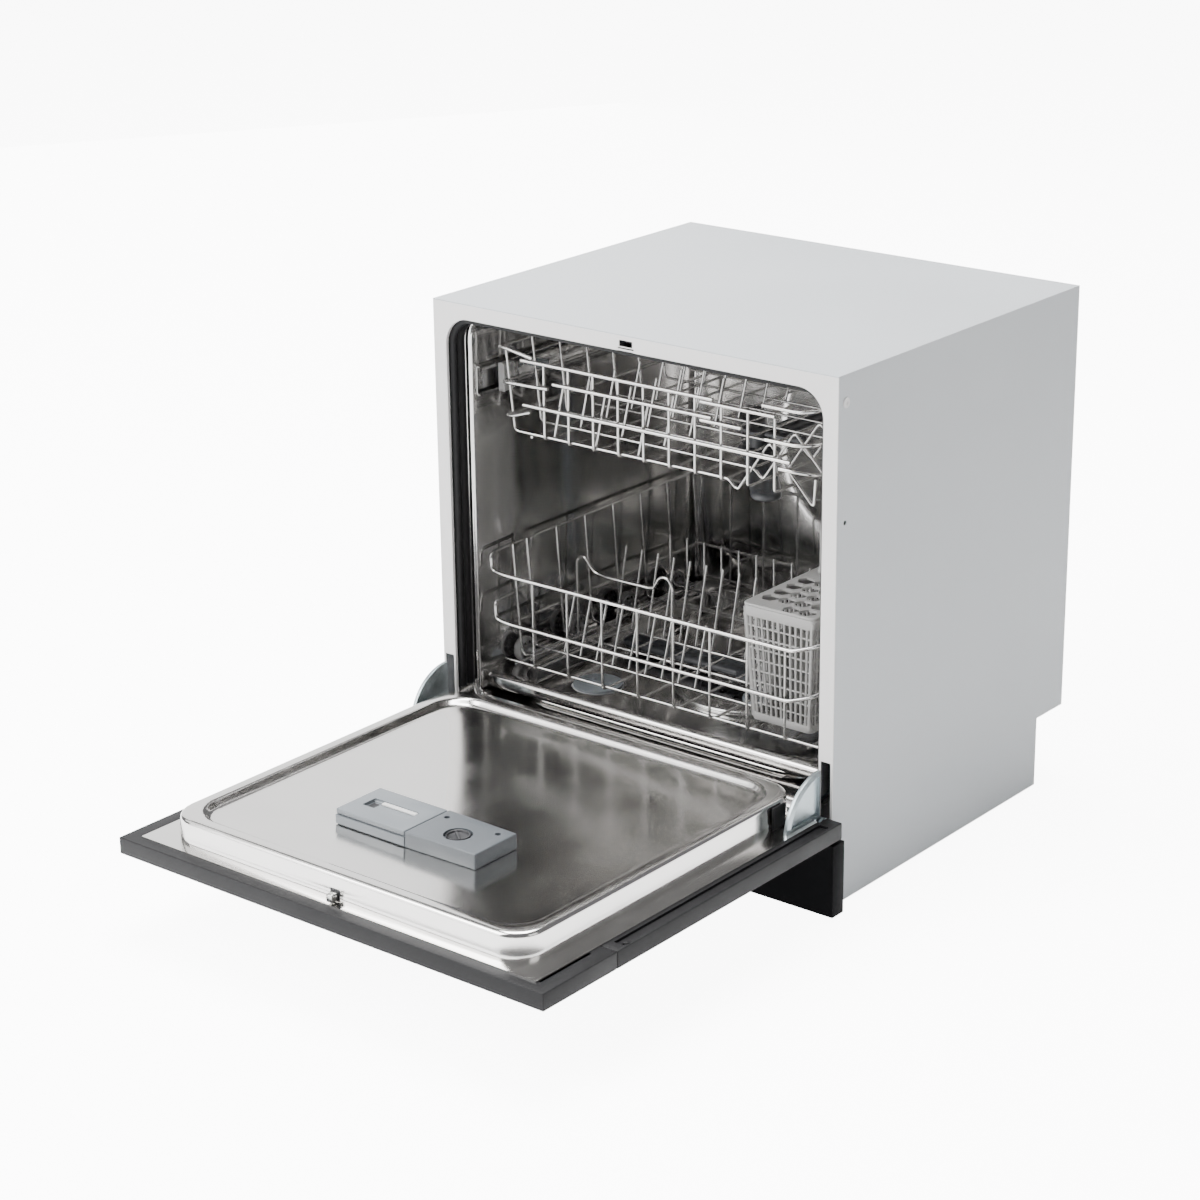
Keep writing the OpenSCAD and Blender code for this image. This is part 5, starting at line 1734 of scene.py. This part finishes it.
@dataclass
class Basket:
    """Cutlery basket that narrows downwards, with a honeycomb lid and a handle."""

    x: Span = (108.0, 204.0)
    y: Span = (64.0, 310.0)
    z: Span = (161.65, 299.65)
    taper: float = 8.0
    bars: int = 12
    side_bars: int = 29
    rows: int = 9
    corner_r: float = 7.0
    post_r: float = 3.2
    pivot: float = 5.4

    def build(self) -> None:
        """Builds the walls, the floor, the lid and the handle."""
        self.walls()
        self.lid()
        self.handle()

    def middle(self) -> Span:
        """The x and y of the basket's middle."""
        return sum(self.x) / 2, sum(self.y) / 2

    def inner(self, z: float) -> float:
        """How far the wall has come in at height z."""
        return self.taper * (self.z[1] - z) / (self.z[1] - self.z[0])

    def plan(self, come: float, level: float, r: float) -> Outline:
        """The basket's outline, brought in all round."""
        x, y = ((low + come, high - come) for low, high in (self.x, self.y))
        return Outline(x, y, level, r, r)

    def spot(self, come: float, across: float, along: float, z: float) -> Point:
        """A point at shares, from 0 to 1, of the width and the length once the walls have come in."""
        return tuple(low + come + share * (high - low - 2 * come)
            for (low, high), share in ((self.x, across), (self.y, along))) + (z,)

    def band(self, name: str, z: Span) -> Object:
        """A rounded frame round the basket.

        Args:
            name: The object's name.
            z: The heights of its lower and upper edge.

        Returns:
            The frame.
        """
        thick, edge = 2.0, 0.5
        rings = []
        for level, come in ((z[0], 0.0), (z[1], 0.0), (z[1], thick), (z[0], thick)):
            rings.append(self.plan(self.inner(level) + come, level, self.corner_r - come * 0.6))
        band = Bench.pressed(name, rings + rings[:1], Plane.TOP)
        return Bench.bevel(band, edge, 2, 50.0)

    def walls(self) -> None:
        """Bottom and top frames, corner posts, upright bars and thin rows between them."""
        low, high = self.z
        bottom, upper = low + 7.0, high - 13.0
        ends = [(self.inner(z) + 1.6, z) for z in (bottom, upper)]
        shares = [(i / self.bars, side) for i in range(self.bars + 1) for side in (0, 1)]
        shares += [(side, i / self.side_bars) for i in range(self.side_bars + 1) for side in (0, 1)]
        bars = [[self.spot(come, *share, z) for come, z in ends] for share in shares]
        rows = []
        for j in range(1, self.rows):
            z = bottom + (upper - bottom) * j / self.rows
            round_trip = ((0, 0.5), (0, 0), (1, 0), (1, 1), (0, 1), (0, 0.5))
            rows.append([self.spot(self.inner(z) + 1.5, *share, z) for share in round_trip])
        parts = [self.band("foot_band", (low, low + 9.0)), self.band("top_band", (high - 15.0, high - 3.1))]
        parts.append(Bench.wires("bars", bars, 1.6, 2.0))
        parts.append(Bench.wires("rows", rows, 1.0, 5.0))
        for corner in ((0, 0), (0, 1), (1, 0), (1, 1)):
            foot, head = [self.spot(self.inner(z) + self.post_r, *corner, z) for z in (low + 4.0, high - 6.0)]
            parts.append(Bench.rod("post", foot, head, self.post_r, 20))
        parts += self.base()
        walls = Bench.join("basket_walls", parts)
        Bench.finish(Bench.smooth(walls), Looks.BASKET, "basket", "basket")

    def base(self) -> list[Object]:
        """Floor grid and the partitions.

        Returns:
            The pieces, not yet joined.
        """
        low = self.z[0]
        come = self.inner(low) + 1.6
        (x0, y0, _), (x1, y1, _) = self.spot(come, 0, 0, low), self.spot(come, 1, 1, low)
        across, along = 12, 32
        routes = [[self.spot(come, i / across, side, low + 2.0) for side in (0, 1)] for i in range(1, across)]
        routes += [[self.spot(come, side, i / along, low + 2.4) for side in (0, 1)] for i in range(1, along)]
        grid = Bench.wires("floor_grid", routes, 1.0, 2.0)
        middle, height = (self.y[0] + self.y[1]) / 2, self.z[1] - 30.0
        walls = [Bench.block("partition", (x0, y - 0.9, low + 3.0), (x1, y + 0.9, height), 0.5)
            for y in (middle - 60.0, middle, middle + 60.0)]
        walls += [Bench.block("partition", (x - 0.7, y0, low + 3.4), (x + 0.7, y1, height - 2.0), 0.4)
            for x in (x0 + (x1 - x0) / 3, x0 + (x1 - x0) * 2 / 3)]
        return [grid, *walls]

    def lid(self) -> None:
        """Lid pierced by a honeycomb of round-cornered holes."""
        high = self.z[1]
        plate = Bench.pressed("basket_cover", [
            self.plan(1.0, high - 2.95, 6.4),
            self.plan(0.1, high - 2.4, self.corner_r),
            self.plan(0.1, high - 0.9, self.corner_r),
            self.plan(1.0, high - 0.1, 6.4),
        ], Plane.TOP, cap_first=True, cap_last=True)
        across, along, stagger, radius, reach = 20.3, 22.6, 2.4, 10.7, 112.0
        xm, ym = self.middle()
        holes = []
        for j in range(-5, 6):
            for i in range(4):
                x = xm + (i - 1.5) * across
                y = ym + j * along + (i - 1.5) * stagger
                if j != 0 and abs(y - ym) < reach:
                    hole = Bench.rod("hole", (x, y, high - 8.0), (x, y, high + 5.0), radius, 6, 1.1, 2)
                    Bench.spin(hole, (x, y), 30.0)
                    holes.append(hole)
        Bench.carve(plate, [Bench.join("holes", holes)])
        lugs, pivot = [], high + self.pivot
        for x in (xm - 22.0, xm + 22.0):
            lugs.append(Bench.rod("lug", (x - 2.0, ym, pivot), (x + 2.0, ym, pivot), 4.6, 28, 0.5))
            lugs.append(Bench.block("foot", (x - 1.9, ym - 4.4, high - 0.6), (x + 1.9, ym + 4.4, pivot), 0.3))
        cover = Bench.join("basket_cover", [plate, *lugs])
        Bench.carve(cover, [Bench.rod("bore", (xm - 30.0, ym, pivot), (xm + 30.0, ym, pivot), 2.1, 20)])
        Bench.finish(Bench.smooth(cover, 30.0), Looks.BASKET, "basket", "basket_lid")

    def handle(self) -> None:
        """U-shaped handle of flat section, rounded where it turns."""
        xm, ym = self.middle()
        top, pivot = self.z[1] + 54.9, self.z[1] + self.pivot
        legs, wide = 27.3, 1.16
        outline = [(-legs, pivot), (-legs, top), (-legs * 0.6, top - 0.5), (0.0, top - 1.3),
            (legs * 0.6, top - 0.5), (legs, top), (legs, pivot)]
        route = Bench.bent([(xm + dx, ym, z) for dx, z in outline], 8.0, 8)
        bow = Bench.wires("bow", [route], 3.0, 0.1)
        centre = at(0.0, ym, 0.0).y
        for vert in bow.data.vertices:
            vert.co.y = centre + (vert.co.y - centre) * wide
        joints = []
        for side in (-1.0, 1.0):
            x, pin_x = xm + side * legs, (xm + side * 24.5, xm + side * 19.7)
            joints.append(Bench.rod("boss", (x - 3.0, ym, pivot), (x + 3.0, ym, pivot), 5.0, 28, 0.8))
            joints.append(Bench.rod("pin", (pin_x[0], ym, pivot), (pin_x[1], ym, pivot), 2.0, 20))
        handle = Bench.join("basket_bow", [bow, *joints])
        Bench.finish(Bench.smooth(handle, 40.0), Looks.BASKET, "basket_handle", "basket_handle")


# ------------------------------------------------------------------ studio


@dataclass
class Studio:
    """Plain pale floor, soft lights and the camera."""

    eye: Point = (1.9174, -2.3860, 1.4081)
    right: Point = (0.777389, 0.628907, -0.0119255)
    up: Point = (-0.2054595, 0.271795, 0.9401663)
    back: Point = (0.5945187, -0.7284244, 0.3405054)
    lens: float = 89.295
    sensor: float = 36.0
    glow: float = 9.0
    shine: float = 0.16

    def build(self) -> None:
        """Sets the floor, the lights, the surroundings and the camera."""
        self.floor()
        self.lights()
        self.surroundings()
        self.camera()

    def floor(self) -> None:
        """A wide pale floor that glows for the camera and faintly in bright finishes, and lights nothing."""
        Bench.clear()
        bpy.ops.mesh.primitive_plane_add(size=200.0, location=(0.0, 0.0, -0.0002))
        floor = Bench.settle("studio_floor")
        net = Net("studio_white")
        drift = net.noise(1.2, 2.0)
        path = net.node("ShaderNodeLightPath", {}, {})
        seen, mirrored = (Num(net, path.outputs[name]) for name in ("Is Camera Ray", "Is Glossy Ray"))
        glow = seen.at_least(mirrored * self.shine)
        floor.data.materials.append(net.shade({
            "Base Color": net.blend(drift, (0.895, 0.895, 0.895), (0.905, 0.905, 0.905)),
            "Roughness": 0.9,
            "Specular IOR Level": 0.1,
            "Emission Color": net.blend(glow, (0.0, 0.0, 0.0), (1.0, 1.0, 1.0)),
            "Emission Strength": self.glow,
        }))

    def lights(self) -> None:
        """Broad soft lights: a high key at the front left, a top light and four fills."""
        for name, place, aim, size, power in (
                ("key_light", (-1.9, -3.3, 3.9), (0.0, 0.0, 0.3), 3.0, 300.0),
                ("front_light", (-2.3, -4.2, 2.0), (0.0, 0.0, 0.3), 3.4, 165.0),
                ("side_light", (4.6, -0.3, 2.0), (0.0, 0.0, 0.3), 2.2, 20.0),
                ("top_light", (-0.4, 0.5, 4.2), (-0.1, 0.0, 0.3), 2.6, 345.0),
                ("left_light", (-3.8, -2.4, 3.6), (0.0, -0.3, 0.2), 3.6, 60.0),
                ("back_light", (-3.4, 1.8, 1.5), (0.0, -0.4, 0.1), 3.6, 72.0)):
            light = bpy.data.lights.new(name, "AREA")
            light.size = size
            light.energy = power
            lamp = bpy.data.objects.new(name, light)
            lamp.location = place
            lamp.rotation_euler = (Vector(place) - Vector(aim)).to_track_quat("Z", "Y").to_euler()
            bpy.context.collection.objects.link(lamp)

    def surroundings(self) -> None:
        """Pale surroundings."""
        world = bpy.data.worlds.new("studio")
        world.use_nodes = True
        shade = world.node_tree.nodes["Background"]
        shade.inputs["Color"].default_value = (0.97, 0.98, 1.0, 1.0)
        shade.inputs["Strength"].default_value = 0.2
        bpy.context.scene.world = world

    def camera(self) -> None:
        """The camera, turned by its three axes."""
        lens = bpy.data.cameras.new("camera")
        lens.lens = self.lens
        lens.sensor_width = self.sensor
        lens.clip_end = 200.0
        camera = bpy.data.objects.new("camera", lens)
        turn = Matrix((self.right, self.up, self.back)).transposed()
        camera.matrix_world = Matrix.Translation(Vector(self.eye)) @ turn.to_4x4()
        bpy.context.collection.objects.link(camera)
        bpy.context.scene.camera = camera


def main() -> None:
    """Builds every sub-assembly in order."""
    logging.basicConfig(level=logging.INFO, format="%(message)s")
    parts = (
        Studio(),
        Cabinet(),
        Runners(),
        Door(),
        Dispenser(),
        LowerRack(),
        UpperRack(),
        SprayArm("lower_spray_arm", "lower_arm", 128.0, 140.0, 196.0),
        SprayArm("upper_spray_arm", "upper_arm", 402.1, 412.6, 180.0, -51.0),
        Basket(),
    )
    for part in parts:
        part.build()


if __name__ == "__main__":
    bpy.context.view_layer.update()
    main()
